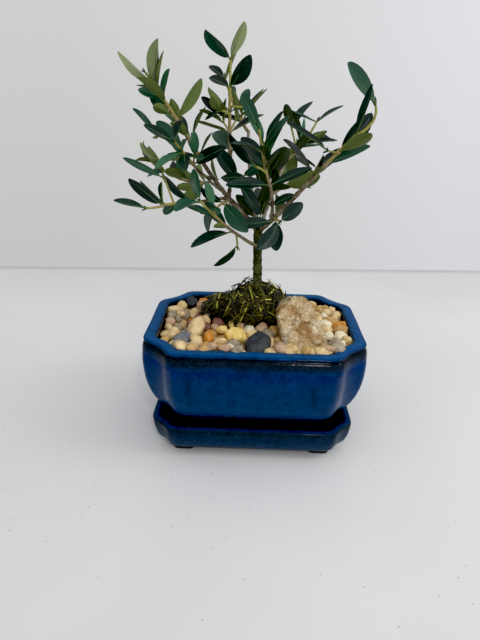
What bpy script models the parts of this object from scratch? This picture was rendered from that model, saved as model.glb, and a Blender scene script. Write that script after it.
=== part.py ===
"""An olive bonsai, planted in a blue glazed pot that stands on its drip tray.

The pot and the tray are lofts of one notched plan. Gravel, a rock and a mound of moss lie on the
soil. The trunk forks into tapering boughs, and each bough ends where a mass of leaves begins. A mass
is one solid: a stem, its twigs, and pairs of leaves that a seeded rule sets on them, each pair turned
a quarter round from the one before it. All sizes below are in millimetres, the mesh is in metres.
They are measured from the ground under the middle of the pot, with +Y away from the front, and the
finished parts are then moved sideways so that the origin is under the middle of the whole plant.
"""
import math
import random

import bmesh
import bpy
import numpy as np
from mathutils import Matrix, Vector
from mathutils.bvhtree import BVHTree

MM = 0.001
CLEAR = 0.3
SIDEWAYS = 5.3
WELDS = (0.02, 0.005, 0.0005)
SLIVER = 1e-11
SHARP_FROM = math.radians(40)

# Pot: the rim's outline, its notched corners, and the levels of the pot
RIM_WIDTH = 156.4
RIM_DEPTH = 116.4
CORNER_X = 21.6
CORNER_Y = 22.7
CORNER_HOLLOW = 2.6
CORNER_ROUND = 4.0
COVE_AT = (0.17, 0.5, 0.83)
POT_TOP = 87.3
LIP_WIDTH = 9.0
POT_FLOOR_TOP = 38.5
POT_FLOOR_UNDER = 30.0
FOOT_RING_OUTER = 18.0
FOOT_RING_INNER = 24.0
ARCH_HEIGHT = 9.0
ARCH_X = 66.0
ARCH_Y = 36.0
ARCH_ROUND = 4.0

# Drip tray
TRAY_WIDTH = 147.4
TRAY_DEPTH = 109.2
TRAY_CORNER = 15.0
TRAY_HOLLOW = 1.4
TRAY_TOP = 23.8
TRAY_FLOOR_TOP = 12.0
TRAY_UNDER = 6.3
PAD_SIZE = (15.0, 11.0)
PAD_PLACE = (50.0, 39.0)
PAD_ROUND = 1.2
PAD_SUNK = 1.5

# What fills the pot
SOIL_TOP = 76.0
BED_FOOT = SOIL_TOP + CLEAR
BED_TOP = 80.5
BED_INSET = 10.0
PEBBLE_PITCH = 12.5
PEBBLE_SEED = 12
PEBBLE_LONG = (4.3, 6.6)
PEBBLE_WIDE = (0.68, 0.95)
PEBBLE_THICK = (0.55, 0.8)
PEBBLE_LIFT = (-0.6, 1.8)
ROW_PITCH = 0.86 * PEBBLE_PITCH
ASIDE_X = 1.9
ASIDE_Y = 1.6
MOSS_LUMPS = (((1.0, 13.0, 86.0), (25.0, 19.0, 26.0)), ((-24.0, 22.0, 83.0), (19.0, 15.0, 15.0)))
MOSS_WAVES = 0.045
MOSS_SEED = 5
TUFTS = (20, 6)
TUFT_LENGTH = (4.0, 9.0)
TUFT_WIDTH = (1.1, 2.1)
TUFT_SUNK = 1.5
TUFT_LEAN = 0.8
STONE_CENTRE = (33.0, -16.0, 90.0)
STONE_REACH = (17.5, 27.0)
ROUND_BALL = 3

# Trunk
TRUNK_FOOT = (2.8, 8.0, BED_FOOT - 1.5)
TRUNK_MIDDLE = (1.0, 8.6, 116.0)
TRUNK_FORK = (0.0, 8.0, 156.5)
TRUNK_RADII = (3.6, 3.0)
FLARE = 2.2
FLARE_HEIGHT = 9.0
TRUNK_FINENESS = (15, 4)
BOUGH_FINENESS = (8, 2)
STEM_FINENESS = (5, 1)

# Leaves: share of the length at each section of the blade, and its half width there
BLADE_AT = (0.0, 0.3, 0.7)
BLADE_WIDE = (0.1, 0.88, 0.88)
LEAF_THICK = 0.28
LEAF_CUP = 0.12
PETIOLE_SUNK = 0.5

# How far one leaf differs from the next: degrees of turn, lean and twist, and shares of its size
LEAF_TURNS = 15.0
LEAF_LEANS = 17.0
LEAF_LONG = (0.78, 1.18)
LEAF_WIDE = (0.8, 1.35)
LEAF_TWISTS = 35.0
LEAF_BENDS = (0.0, 0.16)
PAIR_TURNS = 18.0

# The rule of growth: a few leaves have dropped, and some buds have made a short twig with young leaves
LOST_SHARE = 0.14
BUD_REACH = (4.0, 9.0)
BUD_SPREAD = 32.0
BUD_FORWARD = 1.1
YOUNG_LEAF = 0.78
TWIG_RADII = (0.7, 0.65, 0.6)
STEPS_ASIDE = ((0, 0), (0, -12), (0, 12), (12, 0), (-12, 0), (12, -12), (-12, -12), (12, 12), (-12, 12),
               (25, 0), (-25, 0), (25, -14), (-25, -14), (25, 14), (-25, 14), (40, 0), (-40, 0))
GOLDEN_TURN = 2.4

# The space that the crown keeps to
CROWN_LEFT = -90.5
CROWN_RIGHT = 79.0
CROWN_DEPTH = 59.2


def unit(v):
    """v scaled to length 1"""
    return v / np.linalg.norm(v)


def material(name, colour, roughness):
    """a Principled material with the finish's own colour"""
    made = bpy.data.materials.new(name)
    made.use_nodes = True
    shader = made.node_tree.nodes["Principled BSDF"]
    shader.inputs["Base Color"].default_value = (*colour, 1.0)
    shader.inputs["Roughness"].default_value = roughness
    return made


def new_object(name, mesh, collection, finish=None):
    """an object for a mesh, in a collection, with one material"""
    made = bpy.data.objects.new(name, mesh)
    collection.objects.link(made)
    if finish is not None:
        mesh.materials.clear()
        mesh.materials.append(finish)
    return made


def mesh_from(name, points, faces):
    """a mesh in metres from points in millimetres"""
    mesh = bpy.data.meshes.new(name)
    mesh.from_pydata([tuple(float(c) * MM for c in p) for p in points], [], faces)
    mesh.update()
    return mesh


def tree_of(mesh):
    """a search tree of a mesh, for testing what it touches"""
    corners = [vert.co.copy() for vert in mesh.vertices]
    return BVHTree.FromPolygons(corners, [tuple(face.vertices) for face in mesh.polygons])


def evaluated_mesh(source):
    """the object's mesh as its modifiers leave it"""
    graph = bpy.context.evaluated_depsgraph_get()
    return bpy.data.meshes.new_from_object(source.evaluated_get(graph), depsgraph=graph)


def remove(objects):
    """take working objects out of the file, with their meshes"""
    for one in objects:
        mesh = one.data
        bpy.data.objects.remove(one)
        if mesh.users == 0:
            bpy.data.meshes.remove(mesh)


def largest_piece(mesh):
    """keep the body with the most faces and drop loose scraps"""
    bm = bmesh.new()
    bm.from_mesh(mesh)
    bm.faces.ensure_lookup_table()
    unseen = set(bm.faces)
    bodies = []
    while unseen:
        front = [unseen.pop()]
        body = list(front)
        while front:
            for edge in front.pop().edges:
                for near in edge.link_faces:
                    if near in unseen:
                        unseen.remove(near)
                        front.append(near)
                        body.append(near)
        bodies.append(body)
    bodies.sort(key=len, reverse=True)
    scraps = [face for body in bodies[1:] for face in body]
    bmesh.ops.delete(bm, geom=scraps, context="FACES")
    bm.to_mesh(mesh)
    bm.free()


def is_closed(mesh):
    """true if every edge has two faces"""
    bm = bmesh.new()
    bm.from_mesh(mesh)
    closed = all(len(edge.link_faces) == 2 for edge in bm.edges)
    bm.free()
    return closed


def part_doubled(bm, origin):
    """where two flat faces were both cut along one line, turn the cut round in one of them"""
    for edge in [e for e in bm.edges if len(e.link_faces) == 4]:
        p, q = edge.verts
        groups = {}
        for face in edge.link_faces:
            groups.setdefault(face[origin], []).append(face)
        for pair in groups.values():
            if len(pair) != 2:
                continue
            follows = next(loop.link_loop_next.vert for loop in pair[0].loops if loop.vert == p)
            first, second = pair if follows == q else reversed(pair)
            a = next(vert for vert in first.verts if vert not in (p, q))
            b = next(vert for vert in second.verts if vert not in (p, q))
            turned_way = ((p, a, b), (q, b, a))
            sides = [(c.co - d.co).cross(e.co - d.co).dot(first.normal) for c, d, e in turned_way]
            if bm.edges.get((a, b)) is None and min(sides) > SLIVER:
                bmesh.ops.delete(bm, geom=pair, context="FACES_ONLY")
                for corners in ((a, p, b), (b, q, a)):
                    bm.faces.new(corners)
                break


def tidied(mesh, weld, method):
    """a triangulated copy with close corners merged, or None if that doesn't leave it closed"""
    made = mesh.copy()
    bm = bmesh.new()
    bm.from_mesh(made)
    bmesh.ops.remove_doubles(bm, verts=bm.verts, dist=weld * MM)
    bmesh.ops.dissolve_degenerate(bm, edges=bm.edges, dist=weld * MM)
    origin = bm.faces.layers.int.new("origin")
    for number, face in enumerate(bm.faces):
        face[origin] = number
    bmesh.ops.triangulate(bm, faces=bm.faces, ngon_method=method)
    part_doubled(bm, origin)
    bm.faces.layers.int.remove(origin)
    bm.to_mesh(made)
    bm.free()
    if is_closed(made):
        return made
    bpy.data.meshes.remove(made)
    return None


def joined(base, others, operation):
    """apply one Boolean of a whole collection to the base object, and remove the collection's objects"""
    group = bpy.data.collections.new("working")
    bpy.context.scene.collection.children.link(group)
    for one in others:
        for home in list(one.users_collection):
            home.objects.unlink(one)
        group.objects.link(one)
    change = base.modifiers.new("join", "BOOLEAN")
    change.operation = operation
    change.operand_type = "COLLECTION"
    change.collection = group
    results = []
    for solver in ("EXACT", "MANIFOLD"):
        change.solver = solver
        mesh = evaluated_mesh(base)
        largest_piece(mesh)
        tries = [tidied(mesh, weld, method) for method in ("BEAUTY", "EAR_CLIP") for weld in WELDS]
        results += [made for made in tries if made is not None]
        if results:
            break
    base.modifiers.remove(change)
    before = base.data
    base.data = results[0]
    bpy.data.meshes.remove(before)
    remove(list(others))
    bpy.data.collections.remove(group)


# The notched plan of pot and tray
def plan(width, depth, cut_x, cut_y, hollow, inset):
    """the outline inset evenly: a rectangle whose corners are cut by a cove between two soft arrises"""
    shrink = inset * (2 - math.sqrt(2))
    half = np.array((width / 2 - inset, depth / 2 - inset))
    cut = np.array((cut_x - shrink, cut_y - shrink))
    side = np.array((half[0], half[1] - cut[1]))
    back = np.array((half[0] - cut[0], half[1]))
    inward = -unit(np.array((cut[1], cut[0])))
    cove = [side + (back - side) * u + inward * hollow * math.sin(math.pi * u) for u in COVE_AT]
    before = side - np.array((0, CORNER_ROUND))
    after = back - np.array((CORNER_ROUND, 0))
    corner = [before, (before + cove[0]) / 4 + side / 2, *cove, (after + cove[-1]) / 4 + back / 2, after]
    back_left = [p * (-1, 1) for p in reversed(corner)]
    front_left = [p * (-1, -1) for p in corner]
    front_right = [p * (1, -1) for p in reversed(corner)]
    return np.array(corner + back_left + front_left + front_right)


def pot_plan(inset):
    """the pot's plan, inset from the rim's outer edge"""
    return plan(RIM_WIDTH, RIM_DEPTH, CORNER_X, CORNER_Y, CORNER_HOLLOW, inset)


def tray_plan(inset):
    """the tray's plan, inset from its rim"""
    return plan(TRAY_WIDTH, TRAY_DEPTH, TRAY_CORNER, TRAY_CORNER, TRAY_HOLLOW, inset)


def loft(name, outline, profile):
    """carry the plan along a profile of (inset, height), and close both ends flat"""
    count = len(outline(0))
    rings = [np.column_stack((outline(inset), np.full(count, height))) for inset, height in profile]
    faces = [tuple(reversed(range(count)))]
    for k in range(len(rings) - 1):
        for i in range(count):
            j = (i + 1) % count
            faces.append((k * count + i, k * count + j, (k + 1) * count + j, (k + 1) * count + i))
    faces.append(tuple(range((len(rings) - 1) * count, len(rings) * count)))
    return mesh_from(name, np.vstack(rings), faces)


def box_cutter(name, size, centre, rounding, cutters):
    """a block with softened edges that cuts a way through"""
    bpy.ops.mesh.primitive_cube_add(size=1.0)
    block = bpy.context.object
    block.name = name
    block.scale = [s * MM for s in size]
    bpy.ops.object.transform_apply(location=False, rotation=False, scale=True)
    block.location = [c * MM for c in centre]
    soft = block.modifiers.new("soft", "BEVEL")
    soft.width = rounding * MM
    soft.segments = 2
    for group in list(block.users_collection):
        group.objects.unlink(block)
    cutters.objects.link(block)
    block.hide_render = True
    block.display_type = "WIRE"
    return block


POT_UNDERSIDE = ((FOOT_RING_INNER, POT_FLOOR_UNDER), (FOOT_RING_INNER, TRAY_FLOOR_TOP + CLEAR),
                 (FOOT_RING_OUTER, TRAY_FLOOR_TOP + CLEAR), (FOOT_RING_OUTER - 0.8, 24.0), (17.0, 31.4))
POT_BELLY = ((14.8, 32.7), (10.6, 33.2), (7.8, 35.0), (5.0, 38.8), (2.1, 45.4), (-0.2, 54.0), (-1.1, 62.0),
             (-1.4, 68.5), (-1.0, 74.5), (0.0, 79.5))
POT_LIP = ((1.2, 82.0), (1.6, 83.6), (0.3, 84.3), (0.0, 85.6), (0.7, 86.9), (2.2, POT_TOP),
           (LIP_WIDTH - 1.0, POT_TOP), (LIP_WIDTH, 86.4))
POT_INSIDE = ((LIP_WIDTH + 0.5, 84.0), (8.6, 80.0), (6.6, 71.0), (6.6, 56.0), (11.0, 43.0),
              (18.0, POT_FLOOR_TOP))
TRAY_OUTSIDE = ((6.8, TRAY_UNDER), (4.8, 6.9), (2.8, 9.6), (1.2, 14.0), (0.3, 19.0), (0.0, 22.2))
TRAY_LIP = ((0.5, 23.3), (1.6, TRAY_TOP), (4.2, TRAY_TOP), (5.0, 23.2))
TRAY_INSIDE = ((5.6, 20.0), (7.0, 15.0), (9.6, TRAY_FLOOR_TOP))


def make_pot(parts, cutters, finish):
    """the glazed pot: belly, rolled lip and inside in one loft, with arches cut between its four feet"""
    profile = (*POT_UNDERSIDE, *POT_BELLY, *POT_LIP, *POT_INSIDE)
    pot = new_object("pot", loft("pot", pot_plan, profile), parts, finish)
    foot = TRAY_FLOOR_TOP + CLEAR
    height = 2 * ARCH_HEIGHT
    ways = {"arch_front_to_back": (ARCH_X, RIM_DEPTH, height),
            "arch_side_to_side": (RIM_WIDTH, ARCH_Y, height)}
    for name, size in ways.items():
        cut = pot.modifiers.new(name, "BOOLEAN")
        cut.operation = "DIFFERENCE"
        cut.object = box_cutter(name, size, (0, 0, foot), ARCH_ROUND, cutters)
    return pot


def make_tray(parts, finish):
    """the drip tray: a shallow dish of the same plan on four small pads"""
    profile = (*TRAY_OUTSIDE, *TRAY_LIP, *TRAY_INSIDE)
    tray = new_object("drip_tray", loft("drip_tray", tray_plan, profile), parts, finish)
    pads = []
    for x in (-PAD_PLACE[0], PAD_PLACE[0]):
        for y in (-PAD_PLACE[1], PAD_PLACE[1]):
            top = TRAY_UNDER + PAD_SUNK
            bpy.ops.mesh.primitive_cube_add(size=1.0)
            pad = bpy.context.object
            pad.scale = (PAD_SIZE[0] * MM, PAD_SIZE[1] * MM, top * MM)
            pad.location = (x * MM, y * MM, top / 2 * MM)
            bpy.ops.object.transform_apply(location=True, rotation=False, scale=True)
            soft = pad.modifiers.new("soft", "BEVEL")
            soft.width = PAD_ROUND * MM
            soft.segments = 1
            pads.append(pad)
    joined(tray, pads, "UNION")
    return tray


def make_soil(parts, finish):
    """the root ball's soil: the pot's inside, 0.3 mm clear, up to a level top"""
    below = [level for level in reversed(POT_INSIDE) if level[1] < SOIL_TOP]
    inside = [(inset + CLEAR, height + CLEAR) for inset, height in below]
    profile = (*inside, (POT_INSIDE[1][0] + CLEAR, SOIL_TOP))
    return new_object("soil", loft("soil", pot_plan, profile), parts, finish)


# The rock and the moss: a ball whose radius follows a rule of direction
def ball(name, radius_of, centre, floor, fineness):
    """an icosphere whose points lie at radius_of(direction) from the centre, or on a nearer floor"""
    bm = bmesh.new()
    bmesh.ops.create_icosphere(bm, subdivisions=fineness, radius=1.0)
    for vert in bm.verts:
        way = unit(np.array(vert.co))
        far = radius_of(way)
        if way[2] < 0:
            far = min(far, (floor - centre[2]) / way[2])
        vert.co = Vector((np.array(centre) + way * far) * MM)
    mesh = bpy.data.meshes.new(name)
    bm.to_mesh(mesh)
    bm.free()
    return mesh


STONE_FACES = (((0.0, -0.5, 0.87), 8.6), ((0.87, 0.02, 0.49), 12.8), ((-0.98, -0.09, -0.17), 15.4),
               ((-0.7, 0.1, 0.7), 20.0), ((0.0, 0.45, 0.89), 23.2), ((0.1, 0.95, 0.3), 27.0),
               ((0.1, -0.95, 0.3), 20.0), ((-0.62, -0.75, 0.2), 19.6), ((0.6, -0.78, 0.2), 22.0),
               ((0.7, 0.7, 0.1), 27.0), ((0.0, 0.0, -1.0), 15.0))
STONE_FLAT = 20.0
STONE_FARTHEST = 30.0


def stone_radius(way, grow=0.0):
    """distance to the rock's cleavage faces along a direction, with their arrises rounded off"""
    total = sum(max(0.0, float(unit(np.array(face)) @ way)) ** STONE_FLAT / (far + grow) ** STONE_FLAT
                for face, far in STONE_FACES)
    return total ** (-1.0 / STONE_FLAT) if total > 0 else STONE_FARTHEST


def moss_radius(way, radii, grow=0.0):
    """an ellipsoid with soft waves, so the mound is lumpy"""
    smooth = 1.0 / math.sqrt(sum((w / (r + grow)) ** 2 for w, r in zip(way, radii)))
    broad = math.sin(5.1 * way[0] + 1.0) * math.cos(4.3 * way[1])
    fine = math.sin(7.7 * way[1] + 3.0 * way[2])
    return smooth * (1.0 + MOSS_WAVES * (broad + 0.6 * fine))


def moss_lump(name, centre, radii, floor, grow=0.0):
    """one lump of the mound"""
    return ball(name, lambda way: moss_radius(way, radii, grow), centre, floor, ROUND_BALL)


def make_tuft(name, foot, way, length, width):
    """a three-sided spike of moss"""
    level, lean = across(way)
    thirds = [math.tau * k / 3 for k in range(3)]
    ring = [foot - way * TUFT_SUNK + (level * math.cos(a) + lean * math.sin(a)) * width for a in thirds]
    return mesh_from(name, [*ring, foot + way * length], [(2, 1, 0), (0, 1, 3), (1, 2, 3), (2, 0, 3)])


def lies_free(x, y, long):
    """true if a pebble fits inside the lip and its cut corners, and is clear of moss and rock"""
    half = (RIM_WIDTH / 2 - BED_INSET, RIM_DEPTH / 2 - BED_INSET)
    shrink = BED_INSET * (2 - math.sqrt(2))
    cut = (CORNER_X - shrink, CORNER_Y - shrink)
    beyond_x = (abs(x) + long - half[0] + cut[0]) / cut[0]
    beyond_y = (abs(y) + long - half[1] + cut[1]) / cut[1]
    mossy = min(math.hypot((x - c[0]) / (r[0] + 2), (y - c[1]) / (r[1] + 2)) for c, r in MOSS_LUMPS)
    rocky = math.hypot((x - STONE_CENTRE[0]) / STONE_REACH[0], (y - STONE_CENTRE[1]) / STONE_REACH[1])
    inside = abs(x) + long <= half[0] and abs(y) + long <= half[1] and beyond_x + beyond_y <= 0.92
    return inside and mossy >= 1.0 and rocky >= 1.0


def pebbles():
    """the pebbles' centres, half sizes and bearings, on a jittered hexagonal grid"""
    rng = random.Random(PEBBLE_SEED)
    found = []
    rows = int(RIM_DEPTH / ROW_PITCH) + 1
    columns = int(RIM_WIDTH / PEBBLE_PITCH) + 1
    for row in range(rows):
        for column in range(columns):
            x = (column - columns / 2 + 0.5 * (row % 2)) * PEBBLE_PITCH + rng.uniform(-ASIDE_X, ASIDE_X)
            y = (row - rows / 2) * ROW_PITCH + rng.uniform(-ASIDE_Y, ASIDE_Y)
            long = rng.uniform(*PEBBLE_LONG)
            wide = long * rng.uniform(*PEBBLE_WIDE)
            thick = long * rng.uniform(*PEBBLE_THICK)
            bearing = rng.uniform(0, math.pi)
            z = max(BED_TOP + rng.uniform(*PEBBLE_LIFT), BED_FOOT + CLEAR + thick)
            if lies_free(x, y, long):
                found.append(((x, y, z), (long, wide, thick), bearing))
    return found


def make_pebble(name, centre, half, bearing):
    """one rounded pebble of twenty faces"""
    bm = bmesh.new()
    bmesh.ops.create_icosphere(bm, subdivisions=1, radius=1.0)
    c, s = math.cos(bearing), math.sin(bearing)
    for vert in bm.verts:
        x, y, z = (vert.co[k] * half[k] for k in range(3))
        vert.co = (Vector(centre) + Vector((x * c - y * s, x * s + y * c, z))) * MM
    mesh = bpy.data.meshes.new(name)
    bm.to_mesh(mesh)
    bm.free()
    return mesh


# Limbs
def across(axis):
    """two directions square to the axis: one level, and one that leans up"""
    level = np.cross(axis, (0.0, 0.0, 1.0))
    if np.linalg.norm(level) < 0.05:
        level = np.array((1.0, 0.0, 0.0))
    level = unit(level - axis * (level @ axis))
    return level, np.cross(level, axis)


def on_arc(foot, middle, tip, t):
    """the point and direction at share t of the arc from foot to tip that passes through middle"""
    foot, middle, tip = (np.array(p, float) for p in (foot, middle, tip))
    bow = middle - (foot + tip) / 2
    return foot + (tip - foot) * t + bow * (4 * t * (1 - t)), unit((tip - foot) + bow * (4 - 8 * t))


def tube(name, points, radii, roundness, collection, finish=None):
    """a tapering tube along points: a curve with a bevel and closed ends, made a mesh and welded"""
    curve = bpy.data.curves.new(name, "CURVE")
    curve.dimensions = "3D"
    curve.bevel_depth = MM
    curve.bevel_resolution = roundness
    curve.use_fill_caps = True
    spline = curve.splines.new("POLY")
    spline.points.add(len(points) - 1)
    for spot, place, radius in zip(spline.points, points, radii):
        spot.co = (*(c * MM for c in place), 1.0)
        spot.radius = radius
    drawn = bpy.data.objects.new(name, curve)
    bpy.context.scene.collection.objects.link(drawn)
    mesh = evaluated_mesh(drawn)
    bpy.data.objects.remove(drawn)
    bpy.data.curves.remove(curve)
    bm = bmesh.new()
    bm.from_mesh(mesh)
    bmesh.ops.remove_doubles(bm, verts=bm.verts, dist=1e-6)
    bmesh.ops.recalc_face_normals(bm, faces=bm.faces)
    bm.to_mesh(mesh)
    bm.free()
    mesh.name = name
    return new_object(name, mesh, collection, finish)


def limb_line(limb, stations, longer=0.0):
    """points along a limb's arc, with both ends pushed out by longer"""
    line = [on_arc(limb["foot"], limb["middle"], limb["tip"], k / (stations - 1)) for k in range(stations)]
    points = [p for p, _ in line]
    points[0] = points[0] - line[0][1] * longer
    points[-1] = points[-1] + line[-1][1] * longer
    return points


def limb_radii(limb, stations, thicker=0.0):
    """an even taper from foot to tip, with the trunk's root flare where the limb has one"""
    low, high = limb["radii"]
    rise = abs(limb["tip"][2] - limb["foot"][2])
    shares = [k / (stations - 1) for k in range(stations)]
    flare = limb.get("flare", 0.0)
    return [low + (high - low) * t + flare * math.exp(-rise * t / FLARE_HEIGHT) + thicker for t in shares]


LIMBS = {
    "trunk": dict(foot=TRUNK_FOOT, middle=TRUNK_MIDDLE, tip=TRUNK_FORK, radii=TRUNK_RADII, flare=FLARE),
    "bough_left": dict(foot=(0, 8, 154), middle=(-20, 3, 176), tip=(-38, -3, 201), radii=(2.1, 1.5)),
    "bough_right": dict(foot=(1, 8, 154), middle=(17, 0, 172), tip=(33, -8, 193), radii=(2.2, 1.6)),
    "bough_leader": dict(foot=(-21, 3, 176), middle=(-20, 4, 188), tip=(-20, 5, 202), radii=(1.5, 1.35)),
    "bough_back": dict(foot=(0, 9, 154), middle=(-6, 23, 183), tip=(-9, 33, 218), radii=(1.8, 1.3)),
    "bough_front": dict(foot=(9, 4, 165), middle=(9, -1, 174), tip=(7, -9, 187), radii=(1.5, 1.2)),
    "bough_back_right": dict(foot=(1, 9, 153), middle=(9, 24, 176), tip=(19, 36, 199), radii=(1.7, 1.2)),
    "bough_back_left": dict(foot=(0, 9, 153), middle=(-15, 22, 168), tip=(-36, 33, 183), radii=(1.6, 1.1)),
    "bough_low_left": dict(foot=(0, 7, 143), middle=(-6, 2, 147), tip=(-13, -4, 153), radii=(1.5, 1.2)),
    "bough_side_left": dict(foot=(-22, 2, 177), middle=(-30, -7, 178), tip=(-38, -16, 178),
                            radii=(1.3, 1.0)),
    "bough_second_left": dict(foot=(-33, -1, 190), middle=(-38, -6, 194), tip=(-42, -11, 199),
                              radii=(1.3, 1.0)),
}


# Masses of leaves
def turned(v, axis, degrees):
    """v turned about the axis"""
    a = math.radians(degrees)
    return v * math.cos(a) + np.cross(axis, v) * math.sin(a) + axis * (axis @ v) * (1 - math.cos(a))


def leaf_on(rng, point, axis, turn, spread, length, plump):
    """one leaf by the rule: it leaves the axis at the spread, its upper face towards the shoot's tip"""
    turn += rng.uniform(-LEAF_TURNS, LEAF_TURNS)
    spread += rng.uniform(-LEAF_LEANS, LEAF_LEANS)
    long = length * rng.uniform(*LEAF_LONG)
    wide = long * plump * rng.uniform(*LEAF_WIDE)
    twist = rng.uniform(-LEAF_TWISTS, LEAF_TWISTS)
    bend = rng.uniform(*LEAF_BENDS)
    return dict(point=point, axis=axis, turn=turn, spread=spread, long=long, wide=wide, twist=twist,
                bend=bend)


def leaf_frame(leaf):
    """the leaf's direction, its upper face's normal, and the direction across the blade"""
    level, lean = across(leaf["axis"])
    a = math.radians(leaf["turn"])
    s = math.radians(leaf["spread"])
    out = level * math.cos(a) + lean * math.sin(a)
    way = unit(leaf["axis"] * math.cos(s) + out * math.sin(s))
    face = turned(unit(leaf["axis"] * math.sin(s) - out * math.cos(s)), way, leaf["twist"])
    return way, face, np.cross(way, face)


def leaf_mesh(name, leaf, fatter=0.0, start=0):
    """the leaf's solid: four-sided sections from the stalk to a point, cupped and bent back"""
    way, face, side = leaf_frame(leaf)
    droop = face * (leaf["bend"] * leaf["long"])
    thick = face * (LEAF_THICK + fatter)
    points = []
    for at, wide in zip(BLADE_AT[start:], BLADE_WIDE[start:]):
        sunk = PETIOLE_SUNK if at == 0 else 0.0
        middle = leaf["point"] + way * (leaf["long"] * at - sunk) - droop * at ** 2
        half = side * (leaf["wide"] / 2 * wide + fatter)
        edge = middle + face * (LEAF_CUP * leaf["wide"] * wide)
        points += [edge - half, middle + thick, edge + half, middle - thick]
    points.append(leaf["point"] + way * (leaf["long"] + fatter) - droop)
    sections = len(points) // 4
    faces = [(3, 2, 1, 0)]
    for k in range(sections - 1):
        for i in range(4):
            j = (i + 1) % 4
            faces.append((4 * k + i, 4 * k + j, 4 * k + 4 + j, 4 * k + 4 + i))
    last = 4 * (sections - 1)
    faces += [(last + i, last + (i + 1) % 4, 4 * sections) for i in range(4)]
    return mesh_from(name, points, faces)


def grow(shoot):
    """the leaves and side twigs of a shoot: pairs a quarter turn apart, with a bud's twig here and there"""
    rng = random.Random(shoot["seed"])
    leaves, twigs = [], []
    for k in range(shoot["pairs"]):
        share = k / max(shoot["pairs"] - 1, 1)
        t = shoot["first"] + (1 - shoot["first"]) * share
        point, axis = on_arc(shoot["foot"], shoot["middle"], shoot["tip"], t)
        turn = shoot["roll"] + 90 * k + rng.uniform(-PAIR_TURNS, PAIR_TURNS)
        spread = shoot["spread"][0] + (shoot["spread"][1] - shoot["spread"][0]) * share
        length = shoot["leaf"][0] + (shoot["leaf"][1] - shoot["leaf"][0]) * share
        for half in (0, 180):
            lost = rng.random() < LOST_SHARE
            leaf = leaf_on(rng, point, axis, turn + half, spread, length, shoot["plump"])
            budding = rng.random() < shoot["twiggy"] and k < shoot["pairs"] - 1
            reach = rng.uniform(*BUD_REACH)
            way = unit(axis * BUD_FORWARD + leaf_frame(leaf)[0])
            end = point + way * reach
            small = length * YOUNG_LEAF
            young = [leaf_on(rng, end, way, turn + 90 + other, BUD_SPREAD, small, shoot["plump"])
                     for other in (0, 180)]
            if not lost:
                leaves.append(leaf)
            if budding:
                twigs.append((point, end, young))
    return leaves, twigs


def shoot(mass, foot, middle, tip, pairs, roll, spread, leaf, plump, seed, first=0.1, twiggy=0.0,
          radii=(1.0, 0.7)):
    """a stem or twig of a mass; foot is a point, or a limb and a share of its arc to grow from"""
    if isinstance(foot[0], str):
        limb = LIMBS[foot[0]]
        foot = on_arc(limb["foot"], limb["middle"], limb["tip"], foot[1])[0]
    return dict(mass=mass, foot=foot, middle=middle, tip=tip, pairs=pairs, roll=roll, spread=spread,
                leaf=leaf, plump=plump, seed=seed, first=first, twiggy=twiggy, radii=radii)


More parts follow.
